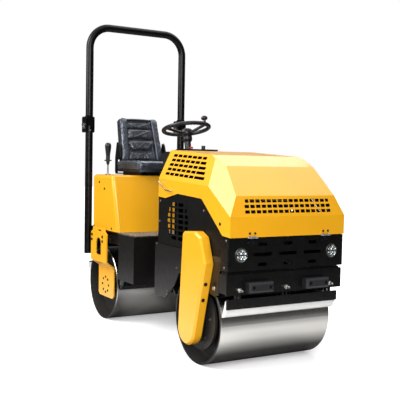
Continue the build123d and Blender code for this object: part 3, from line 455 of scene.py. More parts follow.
# the loose film over the bolsters mirrors what is round it, as a metal does
# the bolsters' cover is drawn paler than the pads': partly the loose film's haze, partly painted sheen
# along its edges
VINYL_SIDE = SeatVinyl("wrapped bolster vinyl", "seat_vinyl", "#565C67", 0.5, 1.0)
LENS = ClearLens("polycarbonate lens", "lamp", "#F4F8FA", 0.03)
TREAD = HotGalvanised("galvanised tread plate", "floor_steel", "#8E8C88", 0.34, 1.0)
PAPER = Finish("studio paper", "", "#F4F4F3", 0.9)


# ---- mesh helpers --------------------------------------------------------------------------
def lathe(bm: BMesh, profile: Sequence[Flat], place: Matrix, segments: int = 24) -> None:
    """Adds a form turned about its own z axis.

    Args:
        bm: Mesh that gets the form.
        profile: Radius and height of each ring, from the seat to the top.
        place: Where the form's own frame goes.
        segments: Number of sides.
    """
    rings = []
    turn = [2 * pi * step / segments for step in range(segments)]
    for radius, height in profile:
        spots = [(radius * cos(a), radius * sin(a), height) for a in turn] if radius else [(0, 0, height)]
        rings.append([bm.verts.new(place @ Vector(spot)) for spot in spots])
    for low, high in zip(rings, rings[1:]):
        for step in range(segments):
            after = step + 1
            corners = [low[step % len(low)], low[after % len(low)], high[after % len(high)],
                       high[step % len(high)]]
            corners = list(dict.fromkeys(corners))
            if len(corners) > 2:
                bm.faces.new(corners)


def prism(bm: BMesh, outline: Sequence[Flat], low: float, high: float, place: Matrix) -> None:
    """Adds a slab over a closed outline.

    Args:
        bm: Mesh that gets the slab.
        outline: Corners in the slab's own x and y, counter-clockwise.
        low: Where the slab starts along its own z.
        high: Where it ends.
        place: Where the slab's own frame goes.
    """
    base = [bm.verts.new(place @ Vector((x, y, low))) for x, y in outline]
    top = [bm.verts.new(place @ Vector((x, y, high))) for x, y in outline]
    bm.faces.new(list(reversed(base)))
    bm.faces.new(top)
    for step in range(len(outline)):
        after = (step + 1) % len(outline)
        bm.faces.new([base[step], base[after], top[after], top[step]])


def round_edges(bm: BMesh, width: float, segments: int, profile: float = 0.0) -> None:
    """Rounds every edge of a mesh, by a width in metres."""
    bmesh.ops.bevel(bm, geom=bm.edges, offset=width, segments=segments, affect="EDGES",
                    profile=profile)


def cut_corners(low: Flat, high: Flat, cut: float) -> list[Flat]:
    """Rectangle with its corners cut, as an outline.

    Args:
        low: Its lowest x and y.
        high: Its highest x and y.
        cut: Length that is cut off each side at each corner.

    Returns:
        The eight corners, counter-clockwise.
    """
    (x_low, y_low), (x_high, y_high) = low, high
    return [(x_low + cut, y_low), (x_high - cut, y_low), (x_high, y_low + cut),
            (x_high, y_high - cut), (x_high - cut, y_high), (x_low + cut, y_high),
            (x_low, y_high - cut), (x_low, y_low + cut)]


def facing(point: Sequence[float], direction: Sequence[float], spin: float = 0.0) -> Matrix:
    """Frame at a point whose z runs along a direction, turned about it by spin in radians."""
    turn = Vector(direction).to_track_quat("Z", "Y").to_matrix().to_4x4()
    return Matrix.Translation(Vector(point)) @ turn @ Matrix.Rotation(spin, 4, "Z")


def circle(centre: Flat, radius: float, count: int, first: float) -> tuple[Flat, ...]:
    """Points spaced evenly round a circle, the first at an angle in radians."""
    turns = [first + 2 * pi * number / count for number in range(count)]
    return tuple((centre[0] + radius * cos(a), centre[1] + radius * sin(a)) for a in turns)


def mesh_object(name: str, bm: BMesh) -> Object:
    """Puts a mesh into the scene as an object, and frees it.

    Args:
        name: Name of the object and its mesh.
        bm: The mesh, in the frame's metres.

    Returns:
        The new object.
    """
    mesh = bpy.data.meshes.new(name)
    bm.to_mesh(mesh)
    bm.free()
    made = bpy.data.objects.new(name, mesh)
    bpy.context.scene.collection.objects.link(made)
    return made


def piece(name: str, bm: BMesh, finish: Finish, body: str, sharp: float = 35.0) -> Object:
    """Makes a finished piece from a mesh.

    Args:
        name: The piece's name.
        bm: Its mesh, in the frame's metres; it is freed.
        finish: What it is made of.
        body: Body that it rides on.
        sharp: Angle in degrees past which an edge stays crisp.

    Returns:
        The new object.
    """
    bmesh.ops.recalc_face_normals(bm, faces=bm.faces)
    for face in bm.faces:
        face.smooth = True
    for edge in bm.edges:
        edge.smooth = edge.is_manifold and edge.calc_face_angle(0) < radians(sharp)
    made = mesh_object(name, bm)
    finish.dress(made)
    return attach(made, body)


def soften(width_mm: float, *names: str) -> None:
    """Rounds the crisp edges of folded or cut sheet, by modifiers alone.

    Args:
        width_mm: Width of the rounding in millimetres.
        names: Names of the nodes.
    """
    for name in names:
        weld = NODES[name].modifiers.new("weld", "WELD")
        weld.merge_threshold = 1e-5
        bevel = NODES[name].modifiers.new("edge", "BEVEL")
        bevel.width = width_mm / 1000
        bevel.segments = 2
        bevel.limit_method = "ANGLE"
        bevel.angle_limit = radians(FOLD_ANGLE)
        bevel.harden_normals = True
        bevel.use_clamp_overlap = True


def on_hinge_pin(face: MeshPolygon) -> bool:
    """Tells whether a face belongs to a knuckle of the hood's hinges, about their common axis."""
    axis = JOINTS["hood_tilt"]["pos_m"]
    return Vector((face.center.x - axis[0], face.center.z - axis[2])).length < HINGE_KNUCKLE


def trim(node: str, finish: Finish, chosen: Callable[[MeshPolygon], bool]) -> None:
    """Gives some faces of a node another finish.

    Args:
        node: Name of the node.
        finish: The other finish.
        chosen: Tells whether a face gets it.
    """
    mesh = NODES[node].data
    mesh.materials.append(finish.material())
    for polygon in mesh.polygons:
        if chosen(polygon):
            polygon.material_index = len(mesh.materials) - 1


# ---- fasteners -----------------------------------------------------------------------------
class Head(Enum):
    """Kinds of fastener head."""

    HEX = "hexagon head on a plain washer"
    DOME = "button head"
    NUT = "hexagon nut on its stud"


# radius and height of each ring, in sizes of the thread
BUTTON = ((1, 0), (1, 0.1), (0.86, 0.35), (0.5, 0.52), (0.34, 0.55), (0.3, 0.3), (0, 0.3))
WASHER = ((1.1, 0), (1.1, 0.15), (0.7, 0.17))
HEXAGON = ((0.92, 0.15), (0.92, 0.72), (0.82, 0.82), (0, 0.82))


@dataclass(frozen=True)
class Fastener:
    """One size of bolt, as it stands proud of the part that it holds."""

    head: Head
    thread: float
    finish: Finish
    stud: float = 0.0

    def turn(self, bm: BMesh, form: Sequence[Flat], place: Matrix, sides: int) -> None:
        """Adds one turned form, given in sizes of the thread."""
        lathe(bm, [(self.thread * r, self.thread * h) for r, h in form], place, sides)

    def add(self, bm: BMesh, place: Matrix) -> None:
        """Adds the washer, the head and, on a nut, the end of its stud.

        Args:
            bm: Mesh that gets the fastener.
            place: Frame on the seat, with z pointing out.
        """
        if self.head is Head.DOME:
            self.turn(bm, BUTTON, place, 14)
            return
        self.turn(bm, WASHER, place, 18)
        self.turn(bm, HEXAGON, place, 6)
        if self.head is Head.NUT:
            end = 0.82 + self.stud / self.thread
            self.turn(bm, ((0.5, 0.82), (0.5, end - 0.1), (0.4, end), (0, end)), place, 12)


M6_BLACK = Fastener(Head.DOME, 0.0075, BLACK_OXIDE)
M8_DOME = Fastener(Head.DOME, 0.008, DULL_ZINC)
M8_BLACK = Fastener(Head.DOME, 0.010, BLACK_OXIDE)
M10_BLACK = Fastener(Head.DOME, 0.012, BLACK_OXIDE)
M10_HEX = Fastener(Head.HEX, 0.008, DULL_ZINC)
M12_HEX = Fastener(Head.HEX, 0.011, ZINC)
HUB_BOLT = Fastener(Head.HEX, 0.010, DULL_ZINC)
BEAM_STUD = Fastener(Head.NUT, 0.013, ZINC, 0.022)


@dataclass(frozen=True)
class Row:
    """Like fasteners on one node, found by looking at it along an axis from outside."""

    node: str
    fastener: Fastener
    look: Point
    places: tuple[Flat, ...]        # metres along the two axes that it doesn't look along
    both: bool = True               # on both sides of the machine

    def seats(self) -> list[Matrix]:
        """Finds each seat on the node's own surface.

        Returns:
            A frame on each seat, with z pointing out.
        """
        axis = max(range(3), key=lambda number: abs(self.look[number]))
        free = [number for number in range(3) if number != axis]
        found = []
        for side in SIDES if self.both else (1,):
            look = Vector(self.look)
            for first, second in self.places:
                start = Vector((0.0, 0.0, 0.0))
                start[free[0]], start[free[1]] = first, second
                if axis == 1:
                    look.y = -side * abs(self.look[1])
                else:
                    start.y *= side
                start[axis] = -look[axis] * 3
                hit, point, normal, _ = NODES[self.node].ray_cast(start, look)
                if not hit:
                    raise ValueError(f"no surface of {self.node} for a fastener at {first}, {second}")
                # each one is turned by its own place, because no spanner leaves them all alike
                found.append(facing(point, normal, 0.4 + 9 * first))
        return found


def fasten(name: str, body: str, rows: Sequence[Row]) -> list[Object]:
    """Makes all the fasteners of one body, as one piece for each finish.

    Args:
        name: Start of the pieces' names.
        body: Body that they ride on.
        rows: The rows of fasteners.

    Returns:
        The pieces.
    """
    made = []
    for finish in dict.fromkeys(row.fastener.finish for row in rows):
        bm = bmesh.new()
        for row in rows:
            if row.fastener.finish is finish:
                for place in row.seats():
                    row.fastener.add(bm, place)
        made.append(piece(f"{name}_{finish.name.split()[0]}", bm, finish, body, 25))
    return made


# ---- studio --------------------------------------------------------------------------------
@dataclass(frozen=True)
class Softbox:
    """Square softbox that faces the machine."""

    name: str
    direction: Point                # from the machine
    distance: float
    size: float
    level: float                    # how bright it leaves white paper held square to it

    def hang(self, aim: Point) -> None:
        """Hangs the softbox so that it faces a point.

        Args:
            aim: The point, which its distance is taken from.
        """
        data = bpy.data.lights.new(self.name, "AREA")
        data.shape = "SQUARE"
        data.size = self.size
        data.energy = self.level * (pi * self.distance) ** 2
        lamp = bpy.data.objects.new(self.name, data)
        away = Vector(self.direction).normalized()
        lamp.matrix_world = facing(Vector(aim) + away * self.distance, away)
        bpy.context.scene.collection.objects.link(lamp)


@dataclass
class Studio:
    """Camera, soft lights and pale floor round the machine."""

    position: Point = (4.566, -2.617, 1.22)
    yaw: float = 59.851
    pitch: float = 2.795
    roll: float = 1.042
    lens: float = 65.79
    floor_size: float = 60.0
    pool: tuple[Flat, ...] = (      # distance out from the middle, and how pale the steel sees it: painted shade round the drums and a painted pool of light beyond them, seen in reflections
        (0.0, 0.90), (0.42, 0.80), (0.76, 0.10), (0.94, 0.08), (1.16, 0.95),
        (1.42, 0.95), (1.60, 0.68), (2.05, 0.34), (3.40, 0.10), (4.0, 0.06),
    )
    pool_offset: float = 0.45       # how much nearer the pool comes beside the machine than before it
    paper: float = 0.92             # how pale the lens sees the floor
    floor_glow: float = 0.35        # painted glow that the floor gives off near the machine, as the lens sees it
    shadow_reach: Flat = (1.2, 2.4)     # where the glow rises to full, so the shadow under the machine, partly real and partly painted, fades out
    zenith: float = 1.2
    horizon: float = 0.05
    sky_rise: float = 3.0
    aim: Point = (0, 0, 0.9)
    lights: tuple[Softbox, ...] = (
        Softbox("key", (-0.16, -0.82, 0.55), 5.0, 3.4, 0.98),
        Softbox("fill", (0.82, -0.46, 0.34), 5.5, 3.0, 0.64),
        Softbox("top", (0.02, 0.46, 0.88), 4.6, 3.2, 0.22),
        Softbox("rear", (-0.62, 0.48, 0.62), 5.0, 3.2, 0.26),
    )

    def camera(self) -> None:
        """Sets the camera down in front of the machine's right corner."""
        yaw, pitch, roll = radians(self.yaw), radians(self.pitch), radians(self.roll)
        right = Vector((cos(yaw), sin(yaw), 0))
        back = Vector((sin(yaw) * cos(pitch), -cos(yaw) * cos(pitch), sin(pitch)))
        up = back.cross(right)
        right, up = right * cos(roll) + up * sin(roll), up * cos(roll) - right * sin(roll)
        turn = Matrix((right, up, back)).transposed().to_4x4()
        data = bpy.data.cameras.new("camera")
        data.sensor_width = 36.0
        data.lens = self.lens
        made = bpy.data.objects.new("camera", data)
        made.matrix_world = Matrix.Translation(self.position) @ turn
        bpy.context.scene.collection.objects.link(made)
        bpy.context.scene.camera = made

    def reach(self, shader: Node) -> NodeSocket:
        """Adds how far a point of the floor lies from the middle, on a square about the machine.

        Args:
            shader: The floor's shader.

        Returns:
            That distance in metres.
        """
        place = add_node(shader, "TexCoord", {})
        axes = add_node(shader, "SeparateXYZ", {}, {"Vector": place.outputs["Object"]})
        along = add_node(shader, "Math", {"operation": "ABSOLUTE"}, {0: axes.outputs["X"]})
        across = add_node(shader, "Math", {"operation": "ABSOLUTE"}, {0: axes.outputs["Y"]})
        wide = add_node(shader, "Math", {"operation": "ADD", 1: self.pool_offset},
                        {0: across.outputs[0]})
        furthest = add_node(shader, "Math", {"operation": "MAXIMUM"},
                            {0: along.outputs[0], 1: wide.outputs[0]})
        return furthest.outputs[0]

    def floor(self) -> None:
        """Lays pale paper that the lens sees as white, with a painted glow, and the steel sees as a
        painted pool of light.
        """
        bm = bmesh.new()
        bmesh.ops.create_grid(bm, x_segments=2, y_segments=2, size=self.floor_size / 2)
        made = mesh_object("studio_floor", bm)
        shader = PAPER.material().node_tree.nodes["Principled BSDF"]
        reach = self.reach(shader)
        end = self.pool[-1][0]
        share = add_node(shader, "Math", {"operation": "DIVIDE", 1: end}, {0: reach})
        # the ramp paints the floor's colour for reflections: dark beside the drums as painted shade,
        # bright in a ring as a painted pool of light, dark far off
        ramp = add_node(shader, "ValToRGB", {}, {"Fac": share.outputs[0]})
        stops = ramp.color_ramp.elements
        stops.remove(stops[1])
        stops[0].color = (*[self.pool[0][1]] * 3, 1)
        for distance, level in self.pool[1:]:
            stops.new(distance / end).color = (level, level, level, 1)
        seen = add_node(shader, "LightPath", {}).outputs["Is Camera Ray"]
        pale = add_node(shader, "Mix", {"data_type": "RGBA", 7: (*[self.paper] * 3, 1)},
                        {0: seen, 6: ramp.outputs["Color"]})
        # the glow the lens sees is painted light, weaker near the machine, so a painted shadow fades out
        # between these distances
        near, clear = self.shadow_reach
        far = add_node(shader, "MapRange", {"From Min": near, "From Max": clear,
                                            "To Min": self.floor_glow, "To Max": 1.0},
                       {"Value": reach})
        glow = add_node(shader, "Math", {"operation": "MULTIPLY"},
                        {0: seen, 1: far.outputs["Result"]})
        wire(shader, {"Emission Color": (1, 1, 1, 1), "Specular IOR Level": 0.0},
             {"Base Color": pale.outputs[2], "Emission Strength": glow.outputs[0]})
        made.data.materials.append(PAPER.material())

    def world(self) -> None:
        """Hangs a sky white to the lens, and in reflections dark low down and bright overhead."""
        made = bpy.data.worlds.new("studio")
        bpy.context.scene.world = made
        made.use_nodes = True
        shader = made.node_tree.nodes["Background"]
        place = add_node(shader, "TexCoord", {})
        axes = add_node(shader, "SeparateXYZ", {}, {"Vector": place.outputs["Generated"]})
        above = add_node(shader, "Math", {"operation": "MAXIMUM", 1: 0.0}, {0: axes.outputs["Z"]})
        rise = add_node(shader, "Math", {"operation": "POWER", 1: self.sky_rise},
                        {0: above.outputs[0]})
        sky = add_node(shader, "Math", {"operation": "MULTIPLY_ADD", 1: self.zenith,
                                        2: self.horizon}, {0: rise.outputs[0]})
        path = add_node(shader, "LightPath", {})
        seen = add_node(shader, "Mix", {"data_type": "FLOAT", 3: 1.0},
                        {0: path.outputs["Is Camera Ray"], 2: sky.outputs[0]})
        wire(shader, {"Color": (1, 1, 1, 1)}, {"Strength": seen.outputs[0]})

    def build(self) -> None:
        """Sets up the camera, the floor, the lights and the sky."""
        self.camera()
        self.floor()
        for light in self.lights:
            light.hang(self.aim)
        self.world()
        bpy.context.scene.view_settings.view_transform = "Standard"


# ---- drums ---------------------------------------------------------------------------------
@dataclass
class Drum:
    """Smooth drum: bright rolling face, matt black inside and the bolts of its hub disc."""

    node: str
    bolt_circle: float
    first: float                # angle of the first bolt in degrees
    bolts: int = 6
    face_depth: float = 0.004   # how far in from the rolling face the bare steel goes

    def build(self) -> list[Object]:
        """Paints the drum's ends and inside, leaves its face bright and adds the bolts.

        Returns:
            The bolts.
        """
        drum = NODES[self.node]
        low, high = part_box(self.node)
        centre = (low + high) / 2
        bare = (high.x - low.x) / 2 - self.face_depth
        DRUM_BLACK.dress(drum)
        trim(self.node, ROLLED_STEEL, lambda face: (face.center - centre).xz.length > bare)
        for polygon in drum.data.polygons:
            polygon.use_smooth = True
        places = circle(centre.xz, self.bolt_circle, self.bolts, radians(self.first))
        return fasten(f"{self.node}_bolts", self.node, [Row(self.node, HUB_BOLT, ACROSS, places)])


# ---- front end -----------------------------------------------------------------------------
@dataclass
class FrontEnd:
    """Front frame with its panels, lamps, beam, buffers, scrapers and chain cases."""

    lens_radius: float = 0.037
    lens_seat: float = 0.003        # how far the lens's seat stands before the front panel
    lamp_reach: float = 0.044       # from the lamps' outer sides in to their middles
    cup_offset: float = 0.0145      # of each LED cup from the lamp's middle, both ways
    # radius and height of each ring of a cup and of the chip in it
    cup: tuple[Flat, ...] = ((0.0135, 0), (0.0135, 0.005), (0.012, 0.005), (0.005, 0.0005))
    chip: tuple[Flat, ...] = ((0.0048, 0.0005), (0.0045, 0.002), (0, 0.0026))

    def sheets(self) -> None:
        """Coats the sheet and plate work of the front body."""
        BLACK_COAT.coat("front_hubs", "front_panel", "front_beam", "front_scraper_bar",
                        "front_inner_scraper", "pivot_yoke")
        PLATE_COAT.coat("front_frame")
        LOUVRE_COAT.coat("engine_sides", "bulkhead")
        AMBER_COAT.coat("chain_cases")
        CAST_IRON.coat("engine")
        RUBBER.coat("front_buffers")
        NYLON.coat("front_scraper_blade")
        BLACK_OXIDE.coat("hinge_leaves_fixed")
        TURNED_PIN.coat("pivot_pin")
        ABS_BLACK.coat("head_lamps")
        trim("hinge_leaves_fixed", ZINC, on_hinge_pin)
        soften(1.5, "front_beam", "front_frame", "engine_sides")
        soften(3.0, "chain_cases")

    def lamps(self) -> list[Object]:
        """Builds the inside of both round lamps.

        Returns:
            Their reflectors, four LED chips in cups each, and their domed lenses.
        """
        low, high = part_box("head_lamps")
        glass, mirror, chips = bmesh.new(), bmesh.new(), bmesh.new()
        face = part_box("front_panel")[1].x
        radius, offset = self.lens_radius, self.cup_offset
        bowl = ((radius, 0), (radius, 0.004), (radius - 0.003, 0.005), (radius - 0.004, 0.001),
                (0, 0.001))
        dome = ((radius - 0.001, 0.004), (radius - 0.002, 0.007), (0.026, 0.0092),
                (0.012, 0.0104), (0, 0.0108))
        for side in SIDES:
            middle = (face + self.lens_seat, side * (high.y - self.lamp_reach), (low.z + high.z) / 2)
            seat = facing(middle, (1, 0, 0))
            lathe(mirror, bowl, seat, 32)
            for x, y in ((-offset, -offset), (-offset, offset), (offset, -offset), (offset, offset)):
                spot = seat @ Matrix.Translation((x, y, 0.001))
                lathe(mirror, self.cup, spot, 20)
                lathe(chips, self.chip, spot, 4)
            lathe(glass, dome, seat, 32)
        return [
            piece("lamp_reflectors", mirror, REFLECTOR, "front"),
            piece("lamp_chips", chips, LED_CHIP, "front"),
            piece("lamp_lenses", glass, LENS, "front", 60),
        ]

    def bolts(self) -> list[Object]:
        """Adds the fasteners of the front body.

        Returns:
            The fasteners, one piece for each finish.
        """
        return fasten("front_bolts", "front", [
            Row("engine_sides", M8_DOME, ACROSS, ((0.820, 0.944), (0.250, 0.975), (0.246, 0.840))),
            Row("front_panel", M8_DOME, ACROSS, ((1.086, 0.790), (1.069, 0.634))),
            Row("front_frame", M10_HEX, ACROSS,
                ((0.220, 0.687), (0.385, 0.395), (0.378, 0.372), (0.505, 0.560))),
            Row("front_frame", M12_HEX, ACROSS, ((0.963, 0.500),)),
            Row("front_beam", BEAM_STUD, FROM_FRONT, ((0.330, 0.504),)),
            Row("front_beam", BEAM_STUD, FROM_FRONT, ((0.0, 0.504),), both=False),
            Row("front_scraper_bar", M6_BLACK, FROM_FRONT, ((0.11, 0.418), (0.31, 0.418))),
            Row("hinge_leaves_fixed", M6_BLACK, FROM_FRONT, ((0.249, 0.779), (0.285, 0.779))),
            Row("chain_cases", M10_BLACK, FROM_FRONT, ((0.450, 0.519), (0.450, 0.421))),
        ])

    def build(self) -> list[Object]:
        """Dresses the front body and adds its small parts."""
        self.sheets()
        return self.lamps() + self.bolts()


# ---- hood ----------------------------------------------------------------------------------
@dataclass
class Hood:
    """Faceted engine hood with its handles and hinges."""

    skin: float = 0.002         # how far behind the outermost plane a face still counts as outside

    def shaded_inside(self) -> Callable[[MeshPolygon], bool]:
        """Finds what tells the hood's inner and slot faces, which get matt black as painted shade, from
        its painted outside.

        Returns:
            A test that is true for a face behind the outermost surface in its own direction.
        """
        corners = [vertex.co for vertex in NODES["hood"].data.vertices]
        reach: dict[Point, float] = {}

        def inside(face: MeshPolygon) -> bool:
            """Tells whether a face lies behind the outermost one that faces its way.

            Args:
                face: A face of the hood.

            Returns:
                True for a face of the inner side or of a slot's wall.
            """
            way = (round(face.normal.x, 2), round(face.normal.y, 2), round(face.normal.z, 2))
            if way not in reach:
                reach[way] = max(corner.dot(face.normal) for corner in corners)
            return face.center.dot(face.normal) < reach[way] - self.skin

        return inside

    def build(self) -> list[Object]:
        """Coats the hood and adds its fasteners.

        Returns:
            The fasteners.
        """
        AMBER_COAT.coat("hood", "hinge_leaves_moving")
        # painted shade: the hood's inner side and slot walls go matt black so the vents look dark inside
        trim("hood", HOOD_SHADE_BLACK, self.shaded_inside())
        soften(1.2, "hood")
        CHROME.coat("hood_handles")
        trim("hinge_leaves_moving", ZINC, on_hinge_pin)
        return fasten("hood_bolts", "hood", [
            Row("hood", M8_BLACK, ACROSS, ((1.012, 0.880),)),
            Row("hinge_leaves_moving", M6_BLACK, FROM_FRONT, ((0.249, 0.831), (0.285, 0.831))),
        ])


# ---- operator's controls -------------------------------------------------------------------
@dataclass
class Controls:
    """Console, steering wheel, and the drive lever beside the seat."""

    ribs: int = 44
    rib: tuple[Flat, ...] = ((0.00588, 0), (0.00525, 0.00252), (0.00294, 0.0042), (0, 0.00462))
    rib_lean: float = 215.0         # degrees, to the rim's underside
    rib_foot: float = 0.0125        # out from the middle of the rim's section
    rim_height: float = 0.188       # up the column from its foot
    rim_radius: float = 0.168
    stop_spot: Flat = (0.0, -0.044)
    stop_collar: tuple[Flat, ...] = ((0.013, 0), (0.013, 0.004), (0.009, 0.006))
    stop_head: tuple[Flat, ...] = ((0.008, 0.004), (0.009, 0.009), (0.014, 0.011), (0.0145, 0.016),
                                   (0.011, 0.020), (0, 0.021))
    key_spot: Flat = (-0.070, -0.125)
    key_switch: tuple[Flat, ...] = ((0.014, 0), (0.014, 0.003), (0.011, 0.006), (0.004, 0.007),
                                    (0, 0.007))

    def column(self) -> tuple[Vector, Vector]:
        """Finds the steering column's foot and the way it points."""
        joint = JOINTS["steering_wheel_turn"]
        return Vector(joint["pos_m"]), Vector(joint["axis"]).normalized()

    def on_dash(self, x: float, y: float) -> Matrix:
        """Frame on the console's sloping top, which lies square to the column."""
        foot, axis = self.column()
        return facing((x, y, foot.z - (x - foot.x) * axis.x / axis.z), axis)

    def wheel_ribs(self) -> Object:
        """Adds the finger ribs under the steering wheel's rim.

        Returns:
            The ribs as one piece.
        """
        foot, axis = self.column()
        wheel = facing(foot + axis * self.rim_height, axis)
        under = Matrix.Rotation(radians(self.rib_lean), 4, "Y")
        made = bmesh.new()
        for number in range(self.ribs):
            turn = Matrix.Rotation(2 * pi * number / self.ribs, 4, "Z")
            spot = wheel @ turn @ Matrix.Translation((self.rim_radius, 0, 0))
            lathe(made, self.rib, spot @ under @ Matrix.Translation((0, 0, self.rib_foot)), 8)
        return piece("wheel_ribs", made, ABS_BLACK, "steering_wheel", 60)

    def switches(self) -> list[Object]:
        """Adds the red stop button and the key switch.

        Returns:
            The button, and the bright collars of both.
        """
        red, bright = bmesh.new(), bmesh.new()
        stop = self.on_dash(*self.stop_spot)
        lathe(bright, self.stop_collar, stop, 20)
        lathe(red, self.stop_head, stop, 20)
        lathe(bright, self.key_switch, self.on_dash(*self.key_spot), 20)
        return [piece("stop_button", red, ABS_RED, "front", 50),
                piece("switch_bezels", bright, ZINC, "front", 40)]

    def build(self) -> list[Object]:
        """Dresses the controls and adds their small parts.

        Returns:
            The small parts.
        """
        ABS_BLACK.coat("console", "steering_column", "steering_wheel", "spinner_knob", "lever_grip")
        TURNED_PIN.coat("drive_lever")
        return [self.wheel_ribs()] + self.switches()


# ---- seat ----------------------------------------------------------------------------------
@dataclass
class Seat:
    """Suspension seat: stuffed vinyl pads between bolsters, on moulded shells, under clear film."""

    voxel: float = 0.005
    pressure: float = 4.0
    swell: float = 0.007            # how far a point of the cloth may move
    fill: float = 0.75              # how tight the stuffing is
    inset: float = 0.003            # how far the flat cloth stays inside before it is blown up
    lean: float = 16.4              # degrees that the backrest leans back
    back_low: float = 0.192         # half width of the backrest at its foot
    back_high: float = 0.167        # and at its top
    back_inner: float = 0.126       # half width between its bolsters
    back_height: float = 0.371      # to where the flat cloth reaches; its edge draws in when sewn
    back_depth: float = 0.066
    back_corner: float = 0.020
    back_foot: float = 0.008
    cushion_inner: float = 0.150    # half width between the cushion's bolsters
    cushion_foot: float = 0.022     # from the cushion's lowest point to its bolsters'

    def back_place(self) -> Matrix:
        """Finds the backrest's own frame.

        Returns:
            A frame at the foot of its front face: x to the left, y up it, z out to the front.
        """
        low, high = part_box("seat_back")
        out = Vector((cos(radians(self.lean)), 0, sin(radians(self.lean))))
        side = Vector((0, 1, 0))
        turn = Matrix((side, out.cross(side), out)).transposed().to_4x4()
        return Matrix.Translation((high.x, 0, low.z)) @ turn

    def cushion_place(self) -> Matrix:
        """Finds the cushion's own frame.

        Returns:
            A frame on its foot: x to the left, y back to front, z up.
        """
        low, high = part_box("seat_cushion")
        turn = Matrix(((0, 1, 0), (1, 0, 0), (0, 0, 1))).to_4x4()
        return Matrix.Translation(((low.x + high.x) / 2, 0, low.z)) @ turn

    def stuff(self, name: str, slabs: Sequence[Slab], place: Matrix, finish: Finish,
              folds: Sequence[Fold] = ()) -> Object:
        """Makes one stuffed piece: slabs grown together, then blown up as sewn cloth is.

        Args:
            name: The piece's name.
            slabs: Outline, low and high of each slab, in the seat part's own frame.
            place: Frame of that seat part.
            finish: Its cover.
            folds: Creases pulled into the cover afterwards.

        Returns:
            The finished piece.
        """
        bm = bmesh.new()
        for outline, low, high in slabs:
            prism(bm, outline, low, high, place)
        made = piece(name, bm, finish, "rear", 180)
        remesh = made.modifiers.new("skin", "REMESH")
        remesh.mode = "VOXEL"
        remesh.voxel_size = self.voxel
        self.keep(made)
        rest = [vertex.co.copy() for vertex in made.data.vertices]
        self.inflate(made)
        for vertex, start in zip(made.data.vertices, rest):
            move = vertex.co - start
            if move.length > self.swell:
                vertex.co = start + move * (self.swell / move.length)
        made.modifiers.new("relax", "SMOOTH").iterations = 2
        made.modifiers.new("divide", "SUBSURF").levels = 1
        self.keep(made)
        self.crease(made, place, folds)
        for polygon in made.data.polygons:
            polygon.use_smooth = True
        return made

    def inflate(self, made: Object) -> None:
        """Blows the piece up with Blender's cloth, weightless, and keeps the result.

        Args:
            made: The piece.
        """
        cloth = made.modifiers.new("cloth", "CLOTH")
        cloth.settings.use_pressure = True
        cloth.settings.uniform_pressure_force = self.pressure
        cloth.settings.effector_weights.gravity = 0
        cloth.point_cache.frame_start, cloth.point_cache.frame_end = 1, 20
        for number in range(1, 21):
            bpy.context.scene.frame_set(number)
        self.keep(made)
        bpy.context.scene.frame_set(1)

    def crease(self, made: Object, place: Matrix, folds: Sequence[Fold]) -> None:
        """Raises or sinks the cover along lines, as pulled cloth and film do.

        Args:
            made: The stuffed piece.
            place: Frame of its seat part, in which the folds lie.
            folds: Start, end, width and height of each crease.
        """
        back = place.inverted()
        out = place.to_3x3() @ Vector((0, 0, 1))
        facing_out = [vertex.normal.dot(out) for vertex in made.data.vertices]
        for vertex, share in zip(made.data.vertices, facing_out):
            if share < 0.2:
                continue
            spot = (back @ vertex.co).to_2d()
            rise = 0.0
            for start, end, width, height in folds:
                line = Vector(end) - Vector(start)
                along = max(0.0, min(1.0, (spot - Vector(start)).dot(line) / line.length_squared))
                away = (spot - Vector(start) - line * along).length / width
                if away < 1:
                    taper = min(1.0, 0.35 + 3 * along * (1 - along))
                    rise += height * (1 - away * away) ** 2 * taper
            vertex.co += out * rise

    def keep(self, made: Object) -> None:
        """Puts the piece's modifiers into its mesh.

        Args:
            made: The piece.
        """
        seen = made.evaluated_get(bpy.context.evaluated_depsgraph_get())
        mesh = bpy.data.meshes.new_from_object(seen)
        made.modifiers.clear()
        made.data = mesh

    def shell(self, name: str, outline: Sequence[Flat], low: float, high: float, place: Matrix,
              rounding: tuple[float, int, float]) -> Object:
        """Makes the moulded shell under a stuffed part.

        Args:
            name: The piece's name.
            outline: Its corners, in the seat part's own frame.
            low: Where it starts along that frame's z.
            high: Where it ends.
            place: Frame of the seat part.
            rounding: Width in metres, segments and profile of its rounded edges.

        Returns:
            The shell.
        """
        bm = bmesh.new()
        prism(bm, outline, low, high, place)
        round_edges(bm, *rounding)
        return piece(name, bm, ABS_BLACK, "rear", 50)

    def back_outline(self, low: float, high: float, foot: float, top: float) -> list[Flat]:
        """Outline of the whole backrest, wider at its foot, with its top corners cut.

        Args:
            low: Half width at the foot.
            high: Half width at the top.
            foot: Height of the foot.
            top: Height of the top.

        Returns:
            The six corners, counter-clockwise.
        """
        shoulder = self.back_height - self.back_corner
        return [(-low, foot), (low, foot), (high, shoulder), (high - self.back_corner, top),
                (self.back_corner - high, top), (-high, shoulder)]

    def back_bolster(self, place: Matrix, rear: float) -> Object:
        """Builds the backrest's bolster round both sides and the top.

        Args:
            place: The backrest's frame.
            rear: Where the cover starts along its z.

        Returns:
            The bolster.
        """
        low, high = self.back_low - self.inset, self.back_high + self.inset
        top, inner, front = self.back_height, self.back_inner, -0.006
        slabs: list[Slab] = []
        for side in SIDES:
            corners = [(side * inner, self.back_foot), (side * low, self.back_foot),
                       (side * high, top - self.back_corner),
                       (side * (high - self.back_corner), top), (side * (inner - 0.014), top)]
            slabs.append((corners if side > 0 else corners[::-1], rear, front))
        header = cut_corners((-inner, top - 0.014), (inner, top), 0.002)
        slabs.append((header, rear, front - 0.004))
        slabs.append((self.back_outline(low, high, self.back_foot, top), rear, rear + 0.018))
        folds = [((side * 0.142, start), (side * 0.176, start + reach), 0.006, 0.003)
                 for side in SIDES
                 for start, reach in ((0.06, 0.05), (0.15, -0.03), (0.20, 0.05), (0.29, -0.02))]
        return self.stuff("backrest_bolster", slabs, place, VINYL_SIDE, folds)

